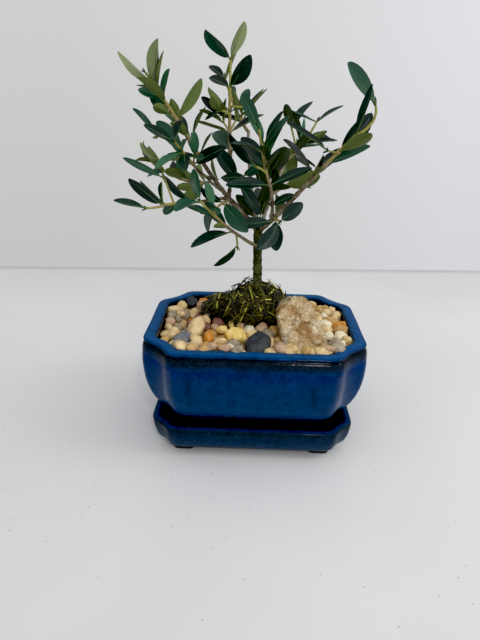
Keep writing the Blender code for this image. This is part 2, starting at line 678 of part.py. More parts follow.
SHOOTS = [
    shoot("leaves_left", ("bough_left", 1.0), (-52, -9, 225), (-64, -13, 243), 5, 120, (56, 36),
          (24, 25), 0.33, 658, first=0.06, twiggy=0.15, radii=(1.4, 0.9)),
    shoot("leaves_left", (-64, -13, 243), (-67, -14, 248), (-70, -14, 252), 2, 135, (32, 32), (26, 26),
          0.31, 975, radii=(0.9, 0.7)),
    shoot("leaves_leader", ("bough_leader", 1.0), (-21, 7, 223), (-21, 7, 245), 4, 120, (68, 54),
          (23, 23), 0.33, 640, first=0.12, twiggy=0.35, radii=(1.3, 0.9)),
    shoot("leaves_leader", (-21, 7, 229), (-23, 5, 231), (-26, 3, 232), 1, 105, (32, 18), (23, 23),
          0.36, 692, first=1.0, radii=(0.8, 0.7)),
    shoot("leaves_leader", (-21, 7, 245), (-21, 8, 253), (-21, 8, 261), 1, 135, (35, 41), (23, 23), 0.4,
          715, first=1.0, radii=(0.9, 0.7)),
    shoot("leaves_back", ("bough_back", 1.0), (-17, 36, 230), (-26, 42, 251), 3, 75, (55, 35), (23, 22),
          0.32, 1486, first=0.3, twiggy=0.1, radii=(1.2, 0.8)),
    shoot("leaves_right", ("bough_right", 1.0), (43, -13, 205), (56, -18, 220), 4, 165, (32, 26),
          (28, 28), 0.29, 1149, first=0.08, radii=(1.5, 1.0)),
    shoot("leaves_right", (56, -18, 220), (65, -19, 228), (66, -20, 237), 1, 0, (24, 38), (32, 32),
          0.27, 1600, first=1.0, radii=(1.0, 0.7)),
    shoot("leaves_front", ("bough_front", 1.0), (2, -15, 203), (-2, -24, 223), 4, 135, (63, 34),
          (25, 25), 0.31, 1394, first=0.05, twiggy=0.25, radii=(1.1, 0.7)),
    shoot("leaves_front", (4, -12, 196), (1.2, -16, 198.8), (-3, -19, 201), 1, 60, (43, 29), (23, 23),
          0.36, 227, first=1.0, radii=(0.8, 0.7)),
    shoot("leaves_back_right", ("bough_back_right", 1.0), (31, 42, 211), (40, 46, 225), 4, 30, (60, 38),
          (24, 23), 0.26, 1642, first=0.12, twiggy=0.2, radii=(1.1, 0.7)),
    shoot("leaves_back_right", (26, 40, 206), (24, 42.8, 213.8), (22, 44, 220), 1, 165, (40, 34),
          (24, 24), 0.3, 1057, first=1.0, radii=(0.8, 0.7)),
    shoot("leaves_low_left", ("bough_low_left", 1.0), (-25, -18, 166), (-37, -30, 181), 3, 45, (65, 34),
          (24, 22), 0.32, 1539, first=0.3, twiggy=0.15, radii=(1.1, 0.7)),
    shoot("leaves_low_left", (-13, -4, 153), (-16, -6, 155), (-18, -9, 157), 1, 135, (30, 30), (29, 29),
          0.28, 1492, first=1.0, radii=(0.8, 0.7)),
    shoot("leaves_low_left", (-15, -6, 155), (-14.5, -4.8, 150.3), (-14, -5, 146), 1, 135, (40, 24),
          (28, 28), 0.28, 538, first=1.0, radii=(0.8, 0.7)),
    shoot("leaves_side_left", ("bough_side_left", 1.0), (-48, -26, 179), (-58, -34, 179), 3, 45,
          (63, 55), (22, 22), 0.42, 326, first=0.25, radii=(0.95, 0.8)),
    shoot("leaves_side_left", (-58, -34, 179), (-63, -37, 178), (-68, -40, 178), 2, 60, (53, 30),
          (24, 26), 0.36, 1398, first=0.15, radii=(0.8, 0.65)),
    shoot("leaves_second_left", ("bough_second_left", 1.0), (-47, -19, 207), (-52, -28, 215), 3, 150,
          (58, 38), (24, 25), 0.3, 152, twiggy=0.15),
    shoot("leaves_back_left", ("bough_back_left", 1.0), (-57, 38, 183), (-81, 42, 195), 5, 30, (71, 32),
          (23, 21), 0.36, 851, twiggy=0.1, radii=(1.1, 0.6)),
    shoot("leaves_inner", ("bough_back", 0.2), (4, 22, 180), (4, 26, 196), 4, 45, (58, 46), (25, 24),
          0.4, 12, first=0.15, twiggy=0.15),
    shoot("leaves_fork", ("bough_right", 0.3), (12, -3, 165), (14, -10, 165), 2, 60, (75, 62), (23, 22),
          0.42, 152, first=0.4),
    shoot("leaves_under_left", ("bough_left", 0.5), (-25, -12, 176), (-29, -18, 173), 2, 15, (52, 56),
          (24, 24), 0.33, 1253, first=0.4),
    shoot("leaves_inner_right", ("bough_back_right", 0.5), (17, 38, 179), (23, 46, 182), 3, 105,
          (68, 50), (25, 24), 0.4, 1628, first=0.2),
    shoot("leaves_inner_left", ("bough_leader", 0.4), (-13, 2, 190), (-11, -6, 193), 2, 75, (76, 44),
          (24, 22), 0.34, 1650, first=0.3),
]
MASSES = list(dict.fromkeys(one["mass"] for one in SHOOTS))


# Building the parts
def limb_tube(limb, name, fineness, collection, finish=None, fatter=0.0):
    """the solid of a limb or stem, or a fatter copy of it to test and cut with"""
    stations, roundness = fineness
    points = limb_line(limb, stations, fatter)
    return tube(name, points, limb_radii(limb, stations, fatter), roundness, collection, finish)


def fineness_of(name):
    """rings and roundness: the trunk has more of both than a bough"""
    return TRUNK_FINENESS if name == "trunk" else BOUGH_FINENESS


def cut_clear(target, names):
    """cut the target 0.3 mm clear of each named limb that it meets"""
    scene = bpy.context.scene.collection
    meant = []
    for name in names:
        fat = limb_tube(LIMBS[name], name, fineness_of(name), scene, fatter=CLEAR)
        if tree_of(fat.data).overlap(tree_of(target.data)):
            meant.append(fat)
        else:
            remove([fat])
    if meant:
        joined(target, meant, "DIFFERENCE")


def cut_level(mesh, height):
    """cut everything below a height away, and close the cut flat"""
    bm = bmesh.new()
    bm.from_mesh(mesh)
    everything = [*bm.verts, *bm.edges, *bm.faces]
    level = dict(plane_co=(0, 0, height * MM), plane_no=(0, 0, 1))
    bmesh.ops.bisect_plane(bm, geom=everything, clear_inner=True, **level)
    bmesh.ops.holes_fill(bm, edges=[edge for edge in bm.edges if edge.is_boundary])
    bm.to_mesh(mesh)
    bm.free()


def make_limbs(parts, finish):
    """trunk and boughs, each cut clear of those before it, and the trunk's foot level on the soil"""
    made = []
    for name, limb in LIMBS.items():
        solid = limb_tube(limb, name, fineness_of(name), parts, finish)
        if name == "trunk":
            cut_level(solid.data, BED_FOOT)
        cut_clear(solid, made)
        made.append(name)


def outside(mesh):
    """true if a piece leaves the space that the crown keeps to"""
    places = [vert.co / MM for vert in mesh.vertices]
    return any(not CROWN_LEFT <= p.x <= CROWN_RIGHT or abs(p.y) > CROWN_DEPTH for p in places)


def touches(mesh, trees):
    """true if the mesh meets any of the trees"""
    own = tree_of(mesh)
    return any(tree.overlap(own) for tree in trees)


def settle(leaf, others, own):
    """turn a leaf by small steps until it is clear of limbs and other leaves, or drop it"""
    for aside, lift in STEPS_ASIDE:
        tried = dict(leaf, turn=leaf["turn"] + aside, spread=leaf["spread"] + lift)
        whole, blade = leaf_mesh("whole", tried), leaf_mesh("blade", tried, start=1)
        free = not outside(whole) and not touches(whole, others) and not touches(blade, own)
        bpy.data.meshes.remove(whole)
        bpy.data.meshes.remove(blade)
        if free:
            return tried
    return None


def fat_tree(mesh):
    """a search tree of a fatter copy, whose mesh is then dropped"""
    tree = tree_of(mesh)
    bpy.data.meshes.remove(mesh)
    return tree


def make_masses(parts, finish):
    """every mass of leaves: all stems first, then the leaves in turn, joined into one solid each"""
    scene = bpy.context.scene.collection
    taken = []
    for name, limb in [*LIMBS.items(), *((one["mass"], one) for one in SHOOTS)]:
        fat = limb_tube(limb, name, fineness_of(name), scene, fatter=CLEAR)
        taken.append((name, tree_of(fat.data)))
        remove([fat])
    for mass in MASSES:
        others = [tree for name, tree in taken if name != mass]
        own, pieces = [], []
        for one in (row for row in SHOOTS if row["mass"] == mass):
            pieces.append(limb_tube(one, mass, STEM_FINENESS, scene))
            leaves, twigs = grow(one)
            for foot, end, young in twigs:
                twig = tube("twig", [foot, (foot + end) / 2, end], TWIG_RADII, 0, scene)
                if outside(twig.data) or touches(twig.data, others):
                    remove([twig])
                    continue
                pieces.append(twig)
                leaves.extend(young)
            for leaf in leaves:
                settled = settle(leaf, others, own)
                if settled is None:
                    continue
                taken.append((mass, fat_tree(leaf_mesh("fat", settled, fatter=CLEAR))))
                own.append(fat_tree(leaf_mesh("fat", settled, fatter=CLEAR, start=1)))
                pieces.append(new_object("leaf", leaf_mesh("leaf", settled), scene))
        whole, rest = pieces[0], pieces[1:]
        whole.name = mass
        scene.objects.unlink(whole)
        parts.objects.link(whole)
        joined(whole, rest, "UNION")
        cut_clear(whole, list(LIMBS))
        whole.data.materials.clear()
        whole.data.materials.append(finish)


def make_filling(parts, finishes):
    """rock, moss and gravel on the soil, each cut clear of what it lies against"""
    scene = bpy.context.scene.collection
    below = BED_FOOT - 1
    rock = ball("stone", stone_radius, STONE_CENTRE, BED_FOOT, ROUND_BALL)
    stone = new_object("stone", rock, parts, finishes["stone"])

    def fat_stone():
        """a copy of the rock that cuts its neighbours 0.3 mm clear of it"""
        fat = ball("cut", lambda way: stone_radius(way, CLEAR), STONE_CENTRE, below, ROUND_BALL)
        return new_object("cut", fat, scene)

    lumps = [new_object("moss", moss_lump("moss", *lump, BED_FOOT), scene) for lump in MOSS_LUMPS]
    moss = lumps[0]
    scene.objects.unlink(moss)
    parts.objects.link(moss)
    joined(moss, lumps[1:], "UNION")
    joined(moss, [fat_stone()], "DIFFERENCE")
    cut_clear(moss, ["trunk"])
    level = ((BED_INSET, BED_FOOT), (BED_INSET, BED_TOP))
    bed = new_object("gravel", loft("gravel", pot_plan, level), parts, finishes["gravel"])
    joined(bed, [new_object("pebble", make_pebble("pebble", *one), scene) for one in pebbles()], "UNION")
    fat_lumps = [new_object("cut", moss_lump("cut", *lump, below, CLEAR), scene) for lump in MOSS_LUMPS]
    joined(bed, [fat_stone(), *fat_lumps], "DIFFERENCE")
    grow_tufts(moss, [stone, bed])
    for one in (moss, bed):
        one.data.materials.clear()
    moss.data.materials.append(finishes["moss"])
    bed.data.materials.append(finishes["gravel"])


def grow_tufts(moss, neighbours):
    """spikes all over the mound, left out where they would touch rock, gravel or trunk"""
    scene = bpy.context.scene.collection
    fat_trunk = limb_tube(LIMBS["trunk"], "trunk", TRUNK_FINENESS, scene, fatter=CLEAR)
    keep_off = [tree_of(fat_trunk.data), *(tree_of(one.data) for one in neighbours)]
    remove([fat_trunk])
    rng = random.Random(MOSS_SEED)
    tufts = []
    for (centre, radii), count in zip(MOSS_LUMPS, TUFTS):
        for k in range(count):
            bearing = GOLDEN_TURN * k + rng.uniform(-0.4, 0.4)
            tilt = math.asin(0.3 + 0.68 * k / count)
            flat = math.cos(tilt)
            out = np.array((math.cos(bearing) * flat, math.sin(bearing) * flat, math.sin(tilt)))
            spot = np.array(centre) + out * moss_radius(out, radii)
            lean = unit(out + np.array([rng.uniform(-TUFT_LEAN, TUFT_LEAN) for _ in range(3)]))
            spike = make_tuft("tuft", spot, lean, rng.uniform(*TUFT_LENGTH), rng.uniform(*TUFT_WIDTH))
            if touches(spike, keep_off):
                bpy.data.meshes.remove(spike)
                continue
            tufts.append(new_object("tuft", spike, scene))
    joined(moss, tufts, "UNION")


def main():
    """clear the scene, build every part about the pot's middle, and move them all sideways together"""
    for old in list(bpy.data.objects):
        bpy.data.objects.remove(old)
    parts = bpy.data.collections.new("olive_bonsai")
    cutters = bpy.data.collections.new("cutters")
    for group in (parts, cutters):
        bpy.context.scene.collection.children.link(group)
    finishes = {
        "glaze": material("cobalt_glaze", (0.008, 0.055, 0.21), 0.18),
        "soil": material("potting_soil", (0.03, 0.02, 0.013), 0.95),
        "gravel": material("river_gravel", (0.50, 0.40, 0.26), 0.6),
        "stone": material("rough_stone", (0.32, 0.27, 0.20), 0.8),
        "moss": material("moss", (0.05, 0.06, 0.012), 0.9),
        "bark": material("olive_bark", (0.16, 0.13, 0.085), 0.8),
        "leaf": material("olive_leaf", (0.015, 0.06, 0.02), 0.35),
    }
    make_pot(parts, cutters, finishes["glaze"])
    make_tray(parts, finishes["glaze"])
    make_soil(parts, finishes["soil"])
    make_filling(parts, finishes)
    make_limbs(parts, finishes["bark"])
    make_masses(parts, finishes["leaf"])
    for one in [*parts.objects, *cutters.objects]:
        one.data.transform(Matrix.Translation(one.location + Vector((SIDEWAYS * MM, 0, 0))))
        one.location = (0, 0, 0)
    for one in parts.objects:
        one.data.set_sharp_from_angle(angle=SHARP_FROM)


main()
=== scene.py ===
# %% [markdown]
# # Dressing an olive bonsai
#
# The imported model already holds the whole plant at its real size: pot, drip tray, soil, gravel, rock,
# moss, trunk, boughs and masses of leaves, as plain solids. This lesson gives each of them the surface
# of the real thing. Shapes are worked out in millimetres about the pot's middle, because a gardener
# measures from there, and one helper turns them into metres at their place in the model.

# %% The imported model
import math
import random

import bmesh
import bpy
import numpy as np
from mathutils import Matrix
from mathutils.bvhtree import BVHTree


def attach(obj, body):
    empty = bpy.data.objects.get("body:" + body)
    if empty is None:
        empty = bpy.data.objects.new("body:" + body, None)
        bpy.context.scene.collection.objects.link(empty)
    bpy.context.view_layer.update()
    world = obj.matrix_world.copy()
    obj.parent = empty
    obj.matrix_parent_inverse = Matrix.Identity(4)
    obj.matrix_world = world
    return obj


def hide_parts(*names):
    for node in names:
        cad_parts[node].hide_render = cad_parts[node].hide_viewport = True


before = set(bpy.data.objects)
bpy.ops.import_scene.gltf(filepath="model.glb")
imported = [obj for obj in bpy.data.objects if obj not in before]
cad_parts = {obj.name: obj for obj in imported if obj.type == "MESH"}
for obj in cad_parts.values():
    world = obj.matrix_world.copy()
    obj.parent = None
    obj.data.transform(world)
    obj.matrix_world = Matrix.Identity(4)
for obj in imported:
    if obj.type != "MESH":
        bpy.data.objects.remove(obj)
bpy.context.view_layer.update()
MASS_NODES = sorted(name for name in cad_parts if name.startswith("leaves_"))
print("nodes in the packed model:", len(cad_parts), "of which masses of leaves:", len(MASS_NODES))

# %% [markdown]
# ## Helpers for shapes
#
# Every new piece is an array of points and a few arrays of faces. They could be built face by face with
# Blender's tools, but a whole array at once is quicker and the formula stays readable. A sum of sine
# waves in scattered directions gives a cheap, smooth, repeatable roughness for anything natural.

# %% Arrays to meshes
MM = 0.001
POT_MIDDLE = np.array((5.3, 0.0, 0.0))


def unit(v):
    """v divided by its length, along the last axis"""
    v = np.asarray(v, float)
    return v / np.linalg.norm(v, axis=-1, keepdims=True)


def grid_faces(rows, columns, closed=True):
    """four corners for each cell between neighbours; closed joins the last column to the first"""
    i = np.arange(rows - 1)[:, None]
    j = np.arange(columns if closed else columns - 1)[None, :]
    k = (j + 1) % columns
    corners = (i * columns + j, i * columns + k, (i + 1) * columns + k, (i + 1) * columns + j)
    return np.stack(np.broadcast_arrays(*corners), -1).reshape(-1, 4)


def joined(shapes):
    """several (points, list of face arrays) as one, each one's faces counting on from the points before"""
    starts = np.cumsum([0] + [len(points) for points, _ in shapes])
    faces = [array + start for (_, arrays), start in zip(shapes, starts) for array in arrays]
    return np.vstack([points for points, _ in shapes]), faces


def listed(arrays):
    """the faces of several arrays as one list"""
    return [face for array in arrays for face in array.tolist()]


# %% Waves for roughness
def ripples(points, size, seed, waves=9):
    """smooth roughness of about -1 to 1: sine waves of about that size in scattered directions"""
    rng = np.random.default_rng(seed)
    ways = unit(rng.normal(size=(waves, 3))) * rng.uniform(0.7, 1.5, (waves, 1)) * math.tau / size
    return np.sin(points @ ways.T + rng.uniform(0, math.tau, waves)).sum(-1) / math.sqrt(waves)


# %% Pieces in the scene
def placed(name, data):
    """an object for a mesh, a lamp or a camera, put into the scene"""
    made = bpy.data.objects.new(name, data)
    bpy.context.scene.collection.objects.link(made)
    return made


def piece(name, shape, material, stands_for=(), marks=None):
    """a finished piece at its place: metres, smooth faces, riding on the plant's one body"""
    points, faces = shape
    mesh = bpy.data.meshes.new(name)
    mesh.from_pydata(((points + POT_MIDDLE) * MM).tolist(), [], listed(faces))
    mesh.polygons.foreach_set("use_smooth", np.ones(len(mesh.polygons), bool))
    for key, values in (marks or {}).items():
        mark = mesh.attributes.new(key, "FLOAT", "POINT")
        mark.data.foreach_set("value", np.ravel(values).astype(np.float32))
    mesh.materials.append(material)
    made = placed(name, mesh)
    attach(made, "root")
    if stands_for:
        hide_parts(*stands_for)
    mesh.update()
    print(name, "has", sum(len(p.vertices) - 2 for p in mesh.polygons), "triangles")


# %% [markdown]
# ## Helpers for materials
#
# A colour picked from a swatch is in sRGB, and a shader wants linear light, so one function converts it.
# One more adds a node with its settings and its links, so that each material below reads as a list of
# what it is made of. Two patterns recur in everything here: noise read as patches of colour, and noise
# read as bumps, so each of them is written once.

# %% Colours and nodes
COLOUR_A, COLOUR_B, MIXED = 6, 7, 2
MIX = {"data_type": "RGBA"}
MULTIPLY = {"data_type": "RGBA", "blend_type": "MULTIPLY"}


def linear(code):
    """an sRGB hex colour as linear RGBA: c / 12.92 below 0.04045, else ((c + 0.055) / 1.055) ^ 2.4"""
    c = np.array([int(code[i:i + 2], 16) for i in (1, 3, 5)]) / 255
    return (*np.where(c <= 0.04045, c / 12.92, ((c + 0.055) / 1.055) ** 2.4).tolist(), 1.0)


def join_up(tree, source, target):
    """a link from a socket, or from a node's first output, or from the colour that a mix gives"""
    if isinstance(source, bpy.types.Node):
        source = source.outputs[MIXED if source.bl_idname == "ShaderNodeMix" else 0]
    tree.links.new(source, target)


def add(tree, kind, values=None, links=None, stops=(), **settings):
    """a node with settings, input values and incoming links; stops are a colour ramp's (place, colour)"""
    made = tree.nodes.new("ShaderNode" + kind)
    for key, value in settings.items():
        setattr(made, key, value)
    for key, value in (values or {}).items():
        made.inputs[key].default_value = value
    for key, source in (links or {}).items():
        join_up(tree, source, made.inputs[key])
    elements = made.color_ramp.elements if stops else ()
    for _ in stops[2:]:
        elements.new(0.5)
    for element, (place, _) in zip(elements, stops):
        element.position = place
    for element, (_, colour) in zip(elements, stops):
        element.color = linear(colour) if isinstance(colour, str) else (colour, colour, colour, 1)
    return made


# %% Surfaces, patches and bumps
def surface(name, **values):
    """a material, its node tree, its shader with the even values on its own sockets, and Object places"""
    made = bpy.data.materials.new(name)
    made.use_nodes = True
    tree = made.node_tree
    shader = tree.nodes["Principled BSDF"]
    for key, value in values.items():
        shader.inputs[key.replace("_", " ")].default_value = value
    return made, tree, shader, add(tree, "TexCoord").outputs["Object"]


def patches(tree, place, scale, detail, stops, **more):
    """noise of that many patches to the metre, and the ramp that gives them colours"""
    noise = add(tree, "TexNoise", {"Scale": scale, "Detail": detail, **more}, {"Vector": place})
    return noise, add(tree, "ValToRGB", links={0: noise}, stops=stops)


def dress(tree, shader, links, relief=None, strength=0.0, depth=0.0):
    """nodes linked to the shader's sockets, and bumps of a depth in metres where there is a relief: a node,
    or the place, scale and detail of a noise"""
    if isinstance(relief, tuple):
        place, scale, detail = relief
        relief = add(tree, "TexNoise", {"Scale": scale, "Detail": detail}, {"Vector": place})
    if relief is not None:
        links["Normal"] = add(tree, "Bump", {"Strength": strength, "Distance": depth}, {"Height": relief})
    for key, source in links.items():
        join_up(tree, source, shader.inputs[key])


print("half-bright grey, #808080, in linear light:", round(linear("#808080")[0], 3))

# %% [markdown]
# ## The pot's plan
#
# A mould maker draws this pot as a rectangle whose corners are cut away by a shallow cove, with the
# arrises on both sides of the cove softened. The same outline, inset evenly, gives every level of pot and
# tray, so one function of the inset draws them all.

# %% Plan and profile
# length and width, the cut along and across at each corner, and how hollow its cove is
RIM = ((156.4, 116.4), (21.6, 22.7), 2.6)
TRAY = ((147.4, 109.2), (15.0, 15.0), 1.4)
ARRIS = 7.0
COVE_ENDS = (0.17, 0.83)
STEPS_ALONG, STEPS_ACROSS, STEPS_COVE = 80, 44, 15


def bend(a, corner, b, steps):
    """(1 - t)^2 a + 2 t (1 - t) corner + t^2 b: a curve from a to b that turns at the corner"""
    t = np.linspace(0, 1, steps)[:, None]
    return (1 - t) ** 2 * a + 2 * t * (1 - t) * corner + t ** 2 * b


def plan(size, cut, hollow, inset):
    """the outline inset evenly: straight sides, and at each corner a sine-shaped cove between two bends"""
    half = np.array(size) / 2 - inset
    cut = np.array(cut) - inset * (2 - math.sqrt(2))
    side = np.array((half[0], half[1] - cut[1]))
    back = np.array((half[0] - cut[0], half[1]))
    u = np.linspace(*COVE_ENDS, STEPS_COVE)[:, None]
    cove = side + (back - side) * u - unit(cut[::-1]) * hollow * np.sin(math.pi * u)
    corner = np.vstack((bend(side - (0, ARRIS), side, cove[0], 8)[:-1], cove,
                        bend(cove[-1], back, back - (ARRIS, 0), 8)[1:]))
    corners = [corner, corner[::-1] * (-1, 1), -corner, corner[::-1] * (1, -1)]
    straights = [np.linspace(a[-1], b[0], count + 2)[1:-1]
                 for a, b, count in zip(corners, corners[1:] + corners[:1], (STEPS_ALONG, STEPS_ACROSS) * 2)]
    return np.vstack([part for pair in zip(corners, straights) for part in pair])


# %% Profiles and walls
def rounded(line, radius, steps=5):
    """a profile of (inset, height) whose corners are bends that start within the radius of each corner"""
    line = np.array(line, float)
    here, back, on = line[1:-1], line[:-2] - line[1:-1], line[2:] - line[1:-1]
    nearest = np.minimum(np.linalg.norm(back, axis=1), np.linalg.norm(on, axis=1)) / 2
    reach = np.minimum(radius, nearest)[:, None, None]
    t = np.linspace(0, 1, steps)[None, :, None]
    here = here[:, None]
    a, b = here + unit(back)[:, None] * reach, here + unit(on)[:, None] * reach
    curve = ((1 - t) ** 2 * a + 2 * t * (1 - t) * here + t ** 2 * b).reshape(-1, 2)
    whole = np.vstack((line[:1], curve, line[-1:]))
    apart = np.linalg.norm(np.diff(whole, axis=0), axis=1) > 0.01
    return whole[np.concatenate(([True], apart))]


def carried(outline, line):
    """an outline carried along a profile: points by (row, place on it), and the ways outward"""
    places = len(plan(*outline, 0))
    rings = np.stack([np.column_stack((plan(*outline, inset), np.full(places, z))) for inset, z in line])
    outward = np.stack([unit(plan(*outline, inset - 0.5) - plan(*outline, inset + 0.5)) for inset, _ in line])
    return rings, outward


def walls(rings):
    """the faces of carried rings, with a flat face over each end"""
    rows, columns = rings.shape[:2]
    first, last = np.arange(columns)[::-1], np.arange((rows - 1) * columns, rows * columns)
    return rings.reshape(-1, 3), [grid_faces(rows, columns), first[None, :], last[None, :]]


# %% Measures along and across a wall
def length_along(line):
    """how far each profile point is from the first, along the profile"""
    return np.concatenate(([0], np.cumsum(np.linalg.norm(np.diff(line, axis=0), axis=1))))


def eased(x):
    """0 below 0, 1 above 1, and x^2 (3 - 2 x) between"""
    x = np.clip(x, 0, 1)
    return x * x * (3 - 2 * x)


def in_box(across, half_width, height, low, high, soft):
    """1 inside a rectangle and 0 outside it, with an eased edge"""
    sides = eased((half_width - np.abs(across)) / soft + 0.5)
    return sides * eased((height - low) / soft + 0.5) * eased((high - height) / soft + 0.5)


print("places on the plan:", len(plan(*RIM, 0)))

# %% [markdown]
# ## The pot
#
# The pot is slip-cast stoneware: a foot ring, a swelling belly, a lip that rolls outwards, and a wall
# inside. A cast wall has no flat facet, so the profile is bent softly at every corner. Each long and
# short side also has a shallow panel pressed into it, where the glaze pools, and the glaze ends in a
# thick roll at the belly's lower edge. These small forms are pushed in or out of the wall along its own
# outward way.

# %% Pot wall
FLOOR = 12.3
UNDERSIDE = ((24, 30), (24, FLOOR), (18, FLOOR), (17.2, 24), (17, 31.4))
BELLY = ((14.8, 32.7), (10.6, 33.2), (7.8, 35), (5, 38.8), (2.1, 45.4), (-0.2, 54), (-1.1, 62),
         (-1.4, 68.5), (-1.1, 74.5), (-0.8, 79.5), (-0.3, 82.2))
LIP = ((1.2, 84.0), (1.5, 84.6), (0.6, 85.1), (0.1, 85.9), (0.7, 86.9), (2.2, 87.3), (8, 87.3), (9, 86.4))
INSIDE = ((9.5, 84), (8.6, 80), (6.6, 71), (6.6, 56), (11, 43), (18, 38.5))
BELLY_START, BELLY_END = 34, 92
FOOT_TOP, ARCH_RISE, ARCH_EDGE, FRONT_ARCH_HALF, SIDE_ARCH_HALF = 25, 9, 3, 33, 18
PANEL_LOW, PANEL_HIGH, PANEL_EDGE, PANEL_DEPTH = 45, 76, 3.0, 0.55
ROLL_HEIGHT, ROLL_HALF, ROLL_THICK = 33.4, 1.1, 0.4

pot_line = rounded((*UNDERSIDE, *BELLY, *LIP, *INSIDE), 3.0)
pot_along = length_along(pot_line)
rings, outward = carried(RIM, pot_line)
x, y, z = np.moveaxis(rings, -1, 0)
foot = z < FOOT_TOP
front_arch = eased((FRONT_ARCH_HALF - np.abs(x)) / ARCH_EDGE) * (np.abs(y) > 25)
side_arch = eased((SIDE_ARCH_HALF - np.abs(y)) / ARCH_EDGE) * (np.abs(x) > 45)
z = np.where(foot, np.maximum(z, FLOOR + ARCH_RISE * np.maximum(front_arch, side_arch)), z)
on_belly = (pot_along > BELLY_START)[:, None] & (pot_along < BELLY_END)[:, None]
panel = sum(np.where(np.abs(depth) > wall, in_box(across, half, z, PANEL_LOW, PANEL_HIGH, PANEL_EDGE), 0)
            for depth, wall, across, half in ((y, 50, x, 44), (x, 70, y, 21)))
roll = np.exp(-((z - ROLL_HEIGHT) / ROLL_HALF) ** 2) * (pot_along > 30)[:, None] * (pot_along < 60)[:, None]
push = -PANEL_DEPTH * panel * on_belly
push = push + ROLL_THICK * roll * (1 + 0.5 * ripples(rings, 9, 1)) + 0.12 * ripples(rings, 38, 2)
push = np.where(foot, 0, push)[..., None]
rings = np.concatenate((rings[..., :2] + outward * push, z[..., None]), -1)
print("length of the pot's profile, mm:", round(pot_along[-1], 1))

# %% [markdown]
# ## Cobalt glaze
#
# The glaze is a glossy cobalt blue over a brown-black slip. Where it lies thick it is blue, with fine
# pale threads where it ran down while molten; where an edge or the underside of the lip thinned it, it
# breaks to brown-black. The dark band in the groove under the lip is partly that break and partly painted
# shade of the lip, and the foot ring under the belly is painted near black as painted shade. A picture
# could hold this, but the bands follow the profile, so each point of the mesh carries how far along the
# profile it is, and a colour ramp turns that into bands. Noise stretched upright gives the threads: they
# are about 0.7 mm apart. A second mark darkens four places that are worn, and a third gives the folds
# beside the front, where glaze pools, a stronger shine, and the short sides a weaker one.

# %% Bands that follow a profile
def on_profile(line, rows):
    """ramp stops from rows of ((inset, height), value), each at the share of the profile's length that the
    profile's nearest point has; a share can also be given as it is"""
    share = length_along(line) / length_along(line)[-1]
    return [(place if isinstance(place, float) else
             float(share[np.argmin(np.linalg.norm(line - np.array(place, float), axis=1))]), value)
            for place, value in rows]


# %% Glaze
def glaze(name, line, bands, gloss, threads):
    """stoneware glaze whose colour and gloss follow the mark profile_share, with threads, mottle and wear"""
    made, tree, shader, place = surface(name, IOR=1.5)
    share, worn, pooled = [add(tree, "Attribute", attribute_name=mark).outputs["Fac"]
                           for mark in ("profile_share", "wear", "pooled")]
    wobble = add(tree, "TexNoise", {"Scale": 90.0, "Detail": 3.0}, {"Vector": place})
    moved = add(tree, "MapRange", {"From Min": 0.3, "From Max": 0.7, "To Min": -0.005, "To Max": 0.005},
                {"Value": wobble})
    at = add(tree, "Math", links={0: share, 1: moved}, operation="ADD")
    band = add(tree, "ValToRGB", links={0: at}, stops=on_profile(line, bands))
    upright = add(tree, "Mapping", {"Scale": (1.0, 1.0, 0.3)}, {"Vector": place})
    _, pale = patches(tree, upright, 1500.0, 2.0, ((0.42, 0.0), (0.8, threads)), Roughness=0.6)
    _, dark = patches(tree, place, 160.0, 4.0, ((0.34, 0.74), (0.58, 1.0)))
    lighter = add(tree, "Mix", {0: 1.0, COLOUR_B: (0.012, 0.09, 0.17, 1)}, {COLOUR_A: band},
                  data_type="RGBA", blend_type="ADD")
    blue = add(tree, "Mix", links={0: pale, COLOUR_A: band, COLOUR_B: lighter}, **MIX)
    clouded = add(tree, "Mix", {0: 1.0}, {COLOUR_A: blue, COLOUR_B: dark}, **MULTIPLY)
    final = add(tree, "Mix", {COLOUR_B: linear("#0d1c26")}, {0: worn, COLOUR_A: clouded}, **MIX)
    links = {"Base Color": final}
    glossy = add(tree, "ValToRGB", links={0: share}, stops=on_profile(line, gloss))
    for socket, low, high, deeper in (("Roughness", 0.34, 0.08, -0.06),
                                      ("Specular IOR Level", 0.09, 0.09, 0.3)):
        value = add(tree, "MapRange", {"To Min": low, "To Max": high}, {"Value": glossy})
        links[socket] = add(tree, "Math", {1: deeper}, {0: pooled, 2: value}, operation="MULTIPLY_ADD")
    dress(tree, shader, links, (place, 420.0, 2.0), 0.25, 0.0004)
    return made


def glazed(name, rings, line, finish, node, **marks):
    """a glazed piece whose points know their share of the profile's length"""
    share = np.broadcast_to(length_along(line)[:, None] / length_along(line)[-1], rings.shape[:2])
    piece(name, walls(rings), finish, [node], {"profile_share": share, **marks})


# %% Cobalt bands, wear and pooled folds
# painted shade: the near-black stops on the foot ring under the belly, and in part the dark stops in the
# groove under the lip
cobalt = glaze("cobalt_glaze_over_dark_slip", pot_line, (
    (0.0, "#05070c"), ((17.2, 24), "#04070d"), ((14.8, 32.7), "#0b3055"), ((9, 34), "#0b3865"),
    ((5, 38.8), "#0a3763"), ((-0.2, 54), "#0a335d"), ((-1.4, 68.5), "#082f5c"), ((-1.2, 72), "#06285b"),
    ((-1, 74.5), "#062459"), ((-0.95, 77.3), "#0c2b55"), ((-0.8, 79.7), "#161f30"),
    ((-0.3, 82.2), "#15151b"), ((1.2, 84.0), "#0d0a0b"), ((0.6, 85.1), "#151a28"),
    ((0.1, 85.9), "#0d2140"), ((0.4, 86.5), "#0a2a52"), ((0.7, 86.9), "#0a3366"), ((2.6, 87.3), "#0b4a80"),
    ((7, 87.3), "#094170"), ((9, 86.4), "#08192e"), ((9.2, 84.6), "#1a1310"), (1.0, "#120d0a")),
    (((7.8, 35), 0.0), ((-1.1, 74.5), 0.15), ((-0.8, 79.5), 1.0), ((9, 86.4), 0.8)), 0.3)
x, y, z = np.moveaxis(rings, -1, 0)
